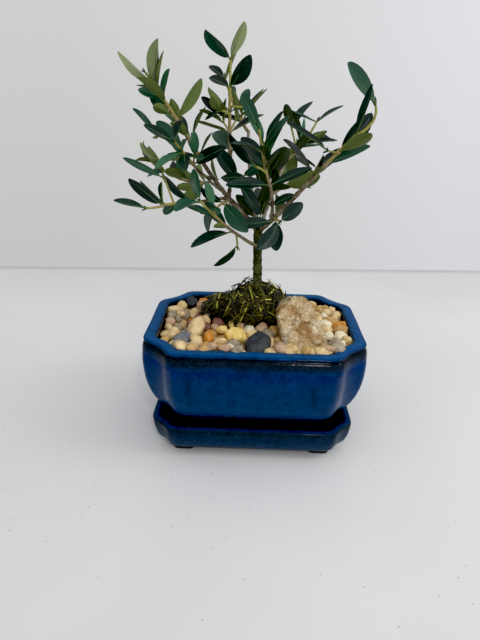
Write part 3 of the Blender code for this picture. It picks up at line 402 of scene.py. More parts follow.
# middle across, middle height, half height and strength of each worn place on the front
WORN = ((-43.4, 64, 6, 0.6), (-43.0, 51, 4.5, 0.45), (40.5, 58, 8, 0.5), (12.0, 45, 5, 0.12))
wear = sum(strength * np.exp(-((x - x0) / 2.2) ** 2 - ((z - z0) / high) ** 4)
           for x0, z0, high, strength in WORN)
fold = np.exp(-((np.abs(x) - 58) / 2.8) ** 2) * (np.abs(y) > 40)
pooled = (1.1 * fold - 0.15 * eased((np.abs(x) - 55) / 3)) * on_belly
glazed("pot_glazed", rings, pot_line, cobalt, "pot", wear=wear * ((y < -50) * on_belly), pooled=pooled)

# %% [markdown]
# ## The drip tray
#
# The tray is cast and glazed like the pot, and it repeats the pot's cut corners with a shallower cove.
# It stands on four small pads. It is made in the same way, with its own profile and its own bands:
# navy inside, painted lighter as painted light where the pot shades it, cobalt on the narrow rim, and a
# darker, browner blue outside that turns near black under the bottom as painted shade.

# %% Tray and pads
TRAY_OUTSIDE = ((6.8, 6.3), (4.8, 6.9), (2.8, 9.6), (1.2, 14.5), (0.3, 20), (0, 23.5))
TRAY_LIP = ((0.5, 24.7), (1.6, 25.2), (4.2, 25.2), (5, 24.6))
TRAY_INSIDE = ((5.6, 20), (7, 15), (9.6, 12), (13, 12))
TRAY_FLOOR = 12.5
tray_line = rounded((*TRAY_OUTSIDE, *TRAY_LIP, *TRAY_INSIDE), 2.0)
rings, outward = carried(TRAY, tray_line)
rings[..., :2] += outward * (0.1 * ripples(rings, 30, 3) * (rings[..., 2] > TRAY_FLOOR))[..., None]
# painted light: the inside stops are lighter, standing in for light that the pot keeps off the inside;
# painted shade: the near-black stops where the outside turns under the bottom
navy = glaze("navy_glaze_over_dark_slip", tray_line, (
    (0.0, "#04060a"), ((4.8, 6.9), "#0a0f16"), ((2.8, 9.6), "#15304c"), ((1.2, 14.5), "#132a45"),
    ((0.3, 20), "#122034"), ((0, 22.6), "#141b22"), ((0.5, 24.7), "#10151b"), ((1.6, 25.2), "#0a2a58"),
    ((4.2, 25.2), "#092852"), ((5.3, 22.6), "#082f5c"), ((7, 15), "#07264a"), (1.0, "#04142a")),
    (((0.3, 20), 0.1), ((0.5, 24.7), 0.9), ((5.3, 22.6), 0.6)), 0.4)
glazed("drip_tray_glazed", rings, tray_line, navy, "drip_tray")

# %% Pads
PAD_HALF = (7.5, 5.5)
PAD_LINE = ((1.6, 0), (0.5, 0.25), (0, 1.1), (0, 7.0))


def pad(x, y):
    """a low block on a rounded oblong plan |u|^5 + |v|^5 = 1, its lower edge bent in by the profile"""
    a = np.linspace(0, math.tau, 48, endpoint=False)
    plan_of_pad = np.column_stack([np.sign(wave) * np.abs(wave) ** 0.4 * half
                                   for wave, half in zip((np.cos(a), np.sin(a)), PAD_HALF)])
    return walls(np.stack([np.column_stack((plan_of_pad * (1 - inset / 6) + (x, y), np.full(48, height)))
                           for inset, height in PAD_LINE]))


# painted shade: the pads' near-black colour stands for the shade under the tray
pad_painted_shade, tree, shader, place = surface("pad_slip_painted_shade_black", IOR=1.5, Roughness=0.6)
_, pad_dark_mottle = patches(tree, place, 700.0, 3.0, ((0.35, "#050607"), (0.75, "#16181c")))
dress(tree, shader, {"Base Color": pad_dark_mottle})
piece("tray_pads", joined([pad(x, y) for x in (-50, 50) for y in (-39, 39)]), pad_painted_shade)

# %% [markdown]
# ## Soil
#
# Hardly any soil shows between the pebbles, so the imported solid's shape is right as it is, and it only
# needs the finish of moist potting soil: nearly black, crumbly, with lighter flecks of fibre.

# %% Soil finish
moist, tree, shader, place = surface("moist_potting_soil", IOR=1.4, Roughness=0.95)
crumb, brown = patches(tree, place, 500.0, 5.0, ((0.35, "#0d0906"), (0.6, "#2b1e14"), (0.8, "#5a4531")))
dress(tree, shader, {"Base Color": brown}, crumb, 0.8, 0.001)
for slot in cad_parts["soil"].material_slots:
    slot.material = moist
print("soil keeps its packed shape")

# %% [markdown]
# ## The rock
#
# A rough lump of crystalline rock leans in the gravel. It could be sculpted, but a convex stone is well
# told by the few flat faces it broke along. Each face is a direction and a distance from the middle, and
# a smooth maximum over all faces rounds the edges between them. Waves of several sizes then roughen it.

# %% Faces of the rock
ROCK_MIDDLE = np.array((33.0, -16.0, 90.0))
ROCK_FACES = (((0, -0.5, 0.87), 8.6), ((0.87, 0.02, 0.49), 12.8), ((-0.98, -0.09, -0.17), 15.4),
              ((-0.7, 0.1, 0.7), 20), ((0, 0.45, 0.89), 23.2), ((0.1, 0.95, 0.3), 27),
              ((0.1, -0.95, 0.3), 20), ((-0.62, -0.75, 0.2), 19.6), ((0.6, -0.78, 0.2), 22),
              ((0.7, 0.7, 0.1), 27), ((0, 0, -1), 15))
ROCK_HARDNESS, ROCK_REACH = 20, 30
# height, length, seed and number of the waves that roughen it
ROCK_WAVES = ((0.7, 13, 4, 9), (0.5, 6, 5, 14), (0.32, 2.8, 6, 20), (0.17, 1.3, 7, 24))


def round_ball(fineness):
    """unit directions and triangles of an evenly divided ball"""
    ball = bmesh.new()
    bmesh.ops.create_icosphere(ball, subdivisions=fineness, radius=1.0)
    ways = np.array([vert.co for vert in ball.verts])
    faces = np.array([[vert.index for vert in face.verts] for face in ball.faces])
    ball.free()
    return unit(ways), faces


def faceted(ways, normals, far, hardness):
    """radius each way: (sum of (way . normal / far) ^ hardness over the faces it meets) ^ (-1 / hardness)"""
    met = np.maximum(0, ways @ np.swapaxes(normals, -1, -2)) / far
    return (met ** hardness).sum(-1) ** (-1 / hardness)


def rock_reach(ways):
    """the smooth rock's radius along each way"""
    return np.minimum(faceted(ways, rock_normals, rock_far, ROCK_HARDNESS), ROCK_REACH)


# %% Rock
ways, triangles = round_ball(6)
rock_normals = unit(np.array([way for way, _ in ROCK_FACES], float))
rock_far = np.array([far for _, far in ROCK_FACES], float)
rock_points = ways * rock_reach(ways)[:, None]
rough = sum(high * ripples(rock_points, *waves) for high, *waves in ROCK_WAVES)
pits = np.minimum(0, ripples(rock_points, 4.2, 8, 16) + 0.9) * 0.7
rock_points = rock_points + ways * (np.clip(rough, -1.4, 0.9) - 0.3 + pits)[:, None]
print("rock, mm each way:", np.ptp(rock_points, axis=0).round(1).tolist())

# %% Rock finish
crystal, tree, shader, place = surface("rough_crystalline_calcite", IOR=1.6, Roughness=0.72)
_, tan = patches(tree, place, 110.0, 6.0, (
    (0.30, "#5c462b"), (0.4, "#b28f58"), (0.46, "#e3d3ae"), (0.52, "#c4a574"), (0.58, "#ece0c6"),
    (0.7, "#fffaf0")), Roughness=0.65, Distortion=0.6)
_, ochre = patches(tree, place, 42.0, 2.0, (
    (0.34, "#c2a172"), (0.45, "#fff8ea"), (0.56, "#ffffff"), (0.66, "#dcbd87")))
grain = add(tree, "TexVoronoi", {"Scale": 700.0, "Randomness": 1.0}, {"Vector": place})
glint = add(tree, "ValToRGB", links={0: grain}, stops=((0.1, 1.0), (0.62, 0.62)))
stained = add(tree, "Mix", {0: 1.0}, {COLOUR_A: tan, COLOUR_B: ochre}, **MULTIPLY)
speckled = add(tree, "Mix", {0: 1.0}, {COLOUR_A: stained, COLOUR_B: glint}, **MULTIPLY)
dress(tree, shader, {"Base Color": speckled}, (place, 900.0, 4.0), 0.9, 0.0007)
piece("rock", (rock_points + ROCK_MIDDLE, [triangles]), crystal, ["stone"])

# %% [markdown]
# ## Gravel
#
# The gravel is washed river pebbles of many colours. Each pebble is a ball cut by a dozen rounded faces,
# then flattened. To lie as if poured, they must touch and not overlap. A physics run could settle them,
# but pushing overlapping neighbours apart some hundred times gives the same look in a second. Each colour
# is a piece of its own, with one mineral's finish, as in a sorted tray of stones.

# %% Where the pebbles lie
BED_HALF = np.array((69.0, 49.3))
BED_CORNER = unit(np.array((0.7245, 0.689)))
BED_DIAGONAL = 69.5
BED_FLOOR, BED_TOP, LIP_TOP = 75.5, 86.4, 90
LUMPS = (((1, 13, 86), (25, 19, 26)), ((-24, 22, 83), (19, 15, 15)))
# colour, x, y and radius of the pebbles that stand out by their colour
ACCENTS = (("yellow", -12, -21, 7.6), ("amber", -33, -24, 5.3), ("charcoal", 3, -39, 8.8),
           ("slate", -51, -27, 6.0), ("white", -44, -39, 5.4), ("white", 53, -35, 3.6),
           ("charcoal", -54, 40, 6.0), ("amber", -43, 44, 4.2), ("russet", -37, -5, 4.6),
           ("amber", 64, 2, 4.6), ("slate", 55, -27, 4.6), ("yellow", -24, -10, 4.0), ("yellow", -17, 0, 3.6),
           ("russet", -44, 12, 3.6), ("cream", -43, -13, 7.8), ("tan", -24, -41, 6.2), ("grey", 8, -17, 6.4))
STANDING_OUT = len(ACCENTS)
PEBBLES, BRIM, ROUNDS = 380, 12, 260
LEAST_RADIUS, RADIUS_RANGE = 3.1, 2.4
POURED_LOW, POURED_HIGH, ACCENT_HEIGHT, LOWER_LAYER = 76, 84, 81.5, 79.5
BRIM_DEPTH, BRIM_HEIGHT, BRIM_LEFT, BRIM_RIGHT = -46.6, 86.9, (-51, -10), (16, 57)
TOUCHING, SINKING = 0.95, 0.12
SQUAT = np.array((1, 1, 1.25))
print("pebbles poured:", PEBBLES, "of which stand out:", STANDING_OUT)


# %% Pouring the gravel
def settled_pebbles(seed):
    """places and radii of balls in the bed, pushed apart where they overlap and back inside where they
    stray; the last few lie along the front, up against the lip"""
    rng = np.random.default_rng(seed)
    radius = LEAST_RADIUS + RADIUS_RANGE * rng.random(PEBBLES) ** 1.2
    radius[:STANDING_OUT] = [row[3] for row in ACCENTS]
    spot = rng.uniform(-1, 1, (PEBBLES, 3)) * (*BED_HALF, 1)
    spot[:, 2] = rng.uniform(POURED_LOW, POURED_HIGH, PEBBLES)
    home = spot[:STANDING_OUT].copy()
    home[:, :2] = [row[1:3] for row in ACCENTS]
    home[:, 2] = ACCENT_HEIGHT + 0.35 * radius[:STANDING_OUT]
    brim = np.arange(PEBBLES - BRIM, PEBBLES)
    across_front = np.concatenate([np.linspace(*ends, BRIM // 2) for ends in (BRIM_LEFT, BRIM_RIGHT)])
    brim_home = np.column_stack((across_front, np.full(BRIM, BRIM_DEPTH), np.full(BRIM, BRIM_HEIGHT)))
    brim_home += rng.normal(0, (2.2, 0.7, 0.5), (BRIM, 3))
    radius[brim] = rng.uniform(3.6, 5.2, BRIM)
    ceiling = BED_TOP - radius * 0.6
    ceiling[brim] = ceiling[:STANDING_OUT] = LIP_TOP
    reach_out = np.zeros((PEBBLES, 2))
    reach_out[brim] = (0, 3)
    for _ in range(ROUNDS):
        apart = (spot[:, None] - spot[None]) * SQUAT
        gap = np.linalg.norm(apart, axis=-1) + 1e-9
        over = np.maximum(0, (radius[:, None] + radius[None]) * TOUCHING - gap)
        np.fill_diagonal(over, 0)
        push = (apart / gap[..., None] * over[..., None]).sum(1) * 0.3
        spot += push / SQUAT
        spot[:, 2] -= SINKING
        from_rock = spot - ROCK_MIDDLE
        way = unit(from_rock)
        inside = np.maximum(0, rock_reach(way) + radius * 0.8 - np.linalg.norm(from_rock, axis=1))
        spot[:, :2] += (way * inside[:, None])[:, :2] * 0.5
        corner = np.maximum(0, np.abs(spot[:, :2]) @ BED_CORNER + radius - BED_DIAGONAL)
        spot[:, :2] -= np.sign(spot[:, :2]) * BED_CORNER * corner[:, None]
        room = BED_HALF + reach_out - radius[:, None]
        spot[:, :2] = np.clip(spot[:, :2], -room, room)
        spot[:, 2] = np.clip(spot[:, 2], BED_FLOOR + radius * 0.4, ceiling)
        spot[:STANDING_OUT] += (home - spot[:STANDING_OUT]) * 0.5
        spot[brim] += (brim_home - spot[brim]) * 0.4
    return spot, radius


# %% Pebbles that the moss leaves room for
spots, radii = settled_pebbles(31)
keep = np.ones(PEBBLES, bool)
for middle, half in LUMPS:
    keep &= np.linalg.norm((spots - middle) / (np.array(half) - 2), axis=1) > 1
spots, radii = spots[keep], radii[keep]
hidden = spots[:, 2] < LOWER_LAYER
print("pebbles:", len(spots), "of which in the lower layer:", int(hidden.sum()))

# %% Pebble colours
# colour: the stone's common name, its hex, the hex of its veins, and how many in a hundred
STONES = {"cream": ("quartzite", "#c9a972", "#e6d0a2", 27), "tan": ("sandstone", "#a9824a", "#d0ad74", 20),
          "beige": ("limestone", "#b99763", "#dec694", 19), "pinkish": ("feldspar", "#a98668", "#cdb190", 9),
          "grey": ("granite", "#857763", "#b0a38a", 10), "white": ("milky_quartz", "#d6c8a6", "#efe6cd", 6),
          "slate": ("slate", "#5d5e63", "#85858a", 2), "charcoal": ("basalt", "#1d1f22", "#3b3f46", 0),
          "amber": ("jasper", "#b8721f", "#dca04c", 1), "yellow": ("citrine", "#dbb252", "#f4dd9c", 3),
          "russet": ("red_sandstone", "#6f4638", "#95695a", 2)}
PEBBLE_HARDNESS = 17
rng = np.random.default_rng(8)
chance = np.array([row[3] for row in STONES.values()], float)
colours = rng.choice(list(STONES), len(spots), p=chance / chance.sum())
at_home = keep[:STANDING_OUT].cumsum() - 1
for row, kept, k in zip(ACCENTS, keep, at_home):
    if kept:
        colours[k] = row[0]
corner_ways = round_ball(1)[0]
print("pebbles by colour:", {name: int((colours == name).sum()) for name in STONES})


# %% Pebble shapes
def pebble_shapes(spots, radii, fineness, rng):
    """balls cut by twelve faces at random distances, flattened, tilted and turned about the upright; the
    faces' directions are spun by a unit quaternion a + b i + c j + d k"""
    ways, faces = round_ball(fineness)
    count = len(spots)
    a, b, c, d = unit(rng.normal(size=(count, 4))).T
    spin = np.stack((1 - 2 * (c * c + d * d), 2 * (b * c - a * d), 2 * (b * d + a * c),
                     2 * (b * c + a * d), 1 - 2 * (b * b + d * d), 2 * (c * d - a * b),
                     2 * (b * d - a * c), 2 * (c * d + a * b), 1 - 2 * (b * b + c * c)), -1).reshape(-1, 3, 3)
    normals = np.einsum("nij,kj->nki", spin, corner_ways)
    far = rng.uniform(0.62, 1.0, (count, 1, 12))
    radius = faceted(ways[None], normals, far, PEBBLE_HARDNESS)[..., None]
    size = np.stack([rng.uniform(*span, count) for span in ((1.0, 1.34), (0.78, 1.02), (0.66, 0.94))], -1)
    big = radii[:, None, None]
    chips = 0.16 * ripples(ways[None] * big * 1.7 + spots[:, None], 4.0, 90, 14)[..., None]
    body = ways[None] * (radius * big + chips) * size[:, None] * 1.1
    heading, tilt = rng.uniform(0, math.tau, count)[:, None], rng.normal(0, 0.32, count)[:, None]
    x, y, z = np.moveaxis(body, -1, 0)
    x, z = x * np.cos(tilt) - z * np.sin(tilt), x * np.sin(tilt) + z * np.cos(tilt)
    x, y = x * np.cos(heading) - y * np.sin(heading), x * np.sin(heading) + y * np.cos(heading)
    points = (np.stack((x, y, z), -1) + spots[:, None]).reshape(-1, 3)
    return points, [(faces[None] + np.arange(count)[:, None, None] * len(ways)).reshape(-1, 3)]


# %% Pebble pieces
stands_for = ["gravel"]
for name, (mineral, base, vein, _) in STONES.items():
    of_colour = colours == name
    if not of_colour.any():
        continue
    shapes = [pebble_shapes(spots[chosen], radii[chosen], fineness, rng)
              for chosen, fineness in ((of_colour & ~hidden, 3), (of_colour & hidden, 2)) if chosen.any()]
    pebble, tree, shader, place = surface(f"washed_{mineral}_pebbles", IOR=1.5, Roughness=0.5,
                                          Specular_IOR_Level=0.4)
    _, mottled = patches(tree, place, 260.0, 5.0, ((0.36, base), (0.68, vein)), Roughness=0.6)
    dress(tree, shader, {"Base Color": mottled}, (place, 1100.0, 3.0), 0.6, 0.0005)
    piece(f"pebbles_{name}", joined(shapes), pebble, stands_for)
    stands_for = ()

# %% [markdown]
# ## Moss
#
# A tangle of wiry sphagnum strands covers the trunk's foot. Hair particles would be the quick way, but
# the export drops them, so the strands are one joined mesh: each is a thin four-sided tube on a line that
# creeps over a dark mound, and a few lift off as sprigs. Three strengths of green, from shaded to
# sunlit, are dealt out strand by strand.

# %% Moss mounds
TRUNK_FOOT = (2.5, 8)
MOUND_FLOOR, STRAND_FLOOR, MOUND_INSET = 77, 79.5, 2.2
ON_SMALL_LUMP, STRAND_INSET, STRAND_STATIONS = 0.22, 1.2, 11


def mound(middle, half):
    """an ellipsoid: the radius each way is 1 / |way / half sizes|, times 1 + 0.05 waves"""
    ways, faces = round_ball(4)
    radius = 1 / np.linalg.norm(ways / (np.array(half, float) - MOUND_INSET), axis=1)
    points = ways * (radius * (1 + 0.05 * ripples(ways * radius[:, None], 8, 11)))[:, None] + middle
    points[:, 2] = np.maximum(points[:, 2], MOUND_FLOOR)
    return points, [faces]


# %% Tubes along many lines
def tubes(lines, widths, sides, relief=None):
    """round tubes about many lines at once: line + (across cos a + up sin a) width, with the lines by
    (tube, station, xyz) and the widths by (tube, station)"""
    count, stations = widths.shape
    along = unit(np.gradient(lines, axis=1))
    least = np.abs(unit(lines[:, -1] - lines[:, 0])).argmin(-1)
    across = unit(np.cross(along, np.eye(3)[least][:, None]))
    up = np.cross(along, across)
    a = np.arange(sides) * math.tau / sides
    ring = across[:, :, None] * np.cos(a)[:, None] + up[:, :, None] * np.sin(a)[:, None]
    points = lines[:, :, None] + ring * widths[:, :, None, None]
    if relief:
        points = points + ring * relief(points)[..., None]
    start = (np.arange(count) * stations * sides)[:, None, None]
    near = np.arange(sides)[::-1]
    far = np.arange((stations - 1) * sides, stations * sides)
    return points.reshape(-1, 3), [(grid_faces(stations, sides) + start).reshape(-1, 4),
                                   (near + start).reshape(-1, sides), (far + start).reshape(-1, sides)]


# %% Moss strands
def strands(count, seed, length, width, sprigs):
    """lines that creep over the mounds: each step goes on along a heading that keeps turning, and comes
    back to the mound's skin; the share named sprigs lifts off towards its end; the width swells and thins
    on the way"""
    rng, stations = np.random.default_rng(seed), STRAND_STATIONS
    lump = (rng.random(count) < ON_SMALL_LUMP).astype(int)
    middle = np.array([row[0] for row in LUMPS], float)[lump]
    half = np.array([row[1] for row in LUMPS], float)[lump] - STRAND_INSET
    out = rng.normal(size=(count, 3))
    out[:, 2] = np.abs(out[:, 2]) * 0.9
    out = unit(out)
    heading = np.cross(out, rng.normal(size=(count, 3)))
    long = rng.uniform(*length, count)
    turning = rng.normal(0, 0.11, count)
    rises = np.where(rng.random(count) < sprigs, rng.uniform(3, 8, count), 0.0)
    bulge = rng.uniform(0.3, 2.2, count)
    lines = np.zeros((count, stations, 3))
    for k in range(stations):
        s = k / (stations - 1)
        at_skin = out / np.linalg.norm(out / half, axis=1)[:, None]
        lift = -0.8 + bulge * math.sin(math.pi * s) + rises * s ** 2
        lines[:, k] = middle + at_skin + out * lift[:, None]
        heading = unit(heading - (heading * out).sum(-1, keepdims=True) * out)
        heading = unit(heading + np.cross(out, heading) * (turning + rng.normal(0, 0.13, count))[:, None])
        out = unit(out + heading * (long / (stations - 1) / np.linalg.norm(at_skin, axis=1))[:, None])
    lines[..., 2] = np.maximum(lines[..., 2], STRAND_FLOOR + 0.4 * rng.random((count, 1)))
    s = np.linspace(0, 1, stations)
    knobs = 1 + 0.3 * np.sin(s * rng.uniform(18, 40, (count, 1)) + rng.uniform(0, 6, (count, 1)))
    return lines, rng.uniform(*width, (count, 1)) * (1 - 0.75 * s ** 3) * knobs


# %% Moss pieces
def moss_finish(name, dark, bright):
    """dried sphagnum: matt, fibrous, a little light shows through as a sheen"""
    made, tree, shader, place = surface(name, IOR=1.4, Roughness=0.85, Sheen_Weight=0.15)
    _, green = patches(tree, place, 140.0, 3.0, ((0.38, dark), (0.62, bright)))
    dress(tree, shader, {"Base Color": green})
    return made


mounds = joined([mound(*lump) for lump in LUMPS])
piece("moss_mounds", mounds, moss_finish("shaded_moss_peat", "#0b0a04", "#1f1d0a"), ["moss"])
# name, count, seed, lengths, widths, share of sprigs, lowest mean height, and two colours; the lowest mean
# height keeps the paler greens on the upper strands, as painted sunlight
MOSSES = (("moss_dark", 700, 21, (10, 24), (0.5, 0.85), 0.2, 0, "#100f07", "#26230d"),
          ("moss_olive", 420, 22, (10, 24), (0.45, 0.8), 0.2, 87, "#3f3b10", "#66611c"),
          ("moss_bright", 120, 23, (12, 26), (0.45, 0.85), 0.21, 93, "#948e2a", "#d2cc58"))
for name, count, seed, length, width, sprigs, lowest, dark, bright in MOSSES:
    lines, widths = strands(count, seed, length, width, sprigs)
    from_trunk = np.linalg.norm(lines[..., :2] - TRUNK_FOOT, axis=2)
    clear = (from_trunk[:, -1] >= 6) & (from_trunk[:, 3:] >= 5.2).all(1)
    clear &= np.linalg.norm(lines - ROCK_MIDDLE, axis=2).min(1) > 16
    clear &= lines[:, :, 2].mean(1) > lowest
    piece(name, tubes(lines[clear], widths[clear], 4), moss_finish(name, dark, bright))

# %% [markdown]
# ## Trunk and boughs
#
# The tree is a young olive: thin grey-brown bark that hardly cracks yet, swollen a little at each old
# leaf scar, with a flare where the roots begin. A tube along a curve would be smooth plastic, so each
# limb is a grid: around it, and along its arc. The radius tapers, swells at the scars and at the limb's
# foot, and fine waves break it up. A limb's arc bends evenly from foot to tip through its middle.

# %% Limbs
# foot, middle and tip of each limb's arc, and its radius at foot and tip
LIMBS = {
    "trunk": ((2.8, 8, 74.8), (1, 8.6, 116), (0, 8, 156.5), (3.6, 3.0)),
    "bough_left": ((0, 8, 154), (-20, 3, 176), (-38, -3, 201), (2.1, 1.5)),
    "bough_right": ((1, 8, 154), (17, 0, 172), (33, -8, 193), (2.2, 1.6)),
    "bough_leader": ((-21, 3, 176), (-20, 4, 188), (-20, 5, 202), (1.5, 1.35)),
    "bough_back": ((0, 9, 154), (-6, 23, 183), (-9, 33, 218), (1.8, 1.3)),
    "bough_front": ((9, 4, 165), (9, -1, 174), (7, -9, 187), (1.5, 1.2)),
    "bough_back_right": ((1, 9, 153), (9, 24, 176), (19, 36, 199), (1.7, 1.2)),
    "bough_back_left": ((0, 9, 153), (-15, 22, 168), (-36, 33, 183), (1.6, 1.1)),
    "bough_low_left": ((0, 7, 143), (-6, 2, 147), (-13, -4, 153), (1.5, 1.2)),
    "bough_side_left": ((-22, 2, 177), (-30, -7, 178), (-38, -16, 178), (1.3, 1.0)),
    "bough_second_left": ((-33, -1, 190), (-38, -6, 194), (-42, -11, 199), (1.3, 1.0)),
}
TRUNK_SCARS, TRUNK_FLARE = (0.3, 0.47, 0.62, 0.8, 0.93), 2.2
TRUNK_BOTTOM = 76.4
SCAR_GAP, BARK_SHRINK = 11, 0.88
print("limbs:", len(LIMBS))


# %% Arcs and what grows on them
def on_arc(foot, middle, tip, t):
    """foot + (tip - foot) t + bow 4 t (1 - t), where bow is how far the middle is off the straight line"""
    foot, middle, tip = np.array((foot, middle, tip), float)
    t = np.asarray(t, float)[..., None]
    bow = middle - (foot + tip) / 2
    return foot + (tip - foot) * t + bow * (4 * t * (1 - t)), unit((tip - foot) + bow * (4 - 8 * t))


def span(arc):
    """how far an arc's tip is from its foot"""
    return np.linalg.norm(np.array(arc[2], float) - np.array(arc[0], float))


def limb_grid(arc, radii, stations, sides, scars, relief, seed, flare=0.0, collar=0.0):
    """a tube on an arc: radius = taper + flare + foot collar + a swelling at each scar + waves"""
    t = np.linspace(0, 1, stations)
    line, _ = on_arc(*arc, t)
    walked = t * span(arc)
    width = radii[0] + (radii[1] - radii[0]) * t
    width = width + flare * np.exp(-walked / 9) + collar * np.exp(-(walked / 2.6) ** 2)
    for scar in scars:
        width = width * (1 + 0.13 * np.exp(-(((t - scar) * walked[-1]) / 1.1) ** 2))
    return tubes(line[None], width[None], sides,
                 lambda p: relief * (ripples(p, 3.2, seed, 14) + 0.7 * ripples(p, 1.3, seed + 1, 16)))


# %% Bark
def bark(name, stops, fleck_colour):
    """young olive bark: matt, grey-brown, with pale corky flecks about a millimetre across"""
    made, tree, shader, place = surface(name, IOR=1.45, Roughness=0.75, Specular_IOR_Level=0.25)
    _, ground = patches(tree, place, 170.0, 5.0, stops, Roughness=0.6)
    spot = add(tree, "TexVoronoi", {"Scale": 420.0}, {"Vector": place})
    near = add(tree, "ValToRGB", links={0: spot}, stops=((0.12, 0.45), (0.34, 0.0)))
    mixed = add(tree, "Mix", {COLOUR_B: linear(fleck_colour)}, {0: near, COLOUR_A: ground}, **MIX)
    dress(tree, shader, {"Base Color": mixed}, (place, 800.0, 4.0), 0.6, 0.0004)
    return made


*trunk_arc, trunk_radii = LIMBS["trunk"]
trunk_shape = limb_grid(trunk_arc, trunk_radii, 90, 20, TRUNK_SCARS, 0.13, 41, flare=TRUNK_FLARE)
trunk_shape[0][:, 2] = np.maximum(trunk_shape[0][:, 2], TRUNK_BOTTOM)
trunk_bark = bark("green_brown_olive_bark", ((0.35, "#22270f"), (0.5, "#373c1e"), (0.66, "#575732")),
                  "#807d58")
piece("trunk_bark", trunk_shape, trunk_bark, ["trunk"])

# %% Boughs
FRONT = ("bough_left", "bough_right", "bough_leader", "bough_front", "bough_side_left", "bough_second_left",
         "bough_low_left")
BACK = ("bough_back", "bough_back_right", "bough_back_left")
BARKS = (("boughs_front", FRONT, ((0.35, "#453d2e"), (0.5, "#6f6450"), (0.66, "#8f8370")), "#aca28c"),
         ("boughs_back", BACK, ((0.35, "#5a5147"), (0.5, "#83786a"), (0.66, "#a09586")), "#b9afa0"))
for name, members, stops, flecks in BARKS:
    shapes = []
    for k, member in enumerate(members):
        *arc, ends = LIMBS[member]
        long = span(arc)
        scars = np.arange(7, long - 2, SCAR_GAP) / long
        radii = np.array(ends) * BARK_SHRINK
        shapes.append(limb_grid(arc, radii, int(long * 1.1) + 8, 14, scars, 0.09, 50 + k, collar=0.5))
    finish = bark(name.replace("boughs", "grey_tan_bark"), stops, flecks)
    piece(name, joined(shapes), finish, list(members))

# %% [markdown]
# ## How the leaves grow
#
# An olive bears its leaves in opposite pairs, each pair a quarter turn on from the last. The same seeded
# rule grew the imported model's leaves, so growing them again from the same rows puts every leaf where its
# solid is. Each row is one shoot: its mass, its arc, its pairs, the first pair's roll, the spread and the
# length of leaves from foot to tip, how plump they are, and the seed. Then come where along the arc the
# first pair is, how often a side twig grows, and the radius from foot to tip, where these are not usual.

# %% Shoots
def shoot(mass, foot, middle, tip, pairs, roll, spread, leaf, plump, seed, first=0.1, twiggy=0.0,
          radii=(1.0, 0.7)):
    """one row; a foot given as a limb and a share is the point at that share of the limb's arc"""
    if isinstance(foot[0], str):
        foot = tuple(on_arc(*LIMBS["bough_" + foot[0]][:3], foot[1])[0])
    return dict(mass="leaves_" + mass, arc=(foot, middle, tip), pairs=pairs, roll=roll, spread=spread,
                leaf=leaf, plump=plump, seed=seed, first=first, twiggy=twiggy, radii=radii)


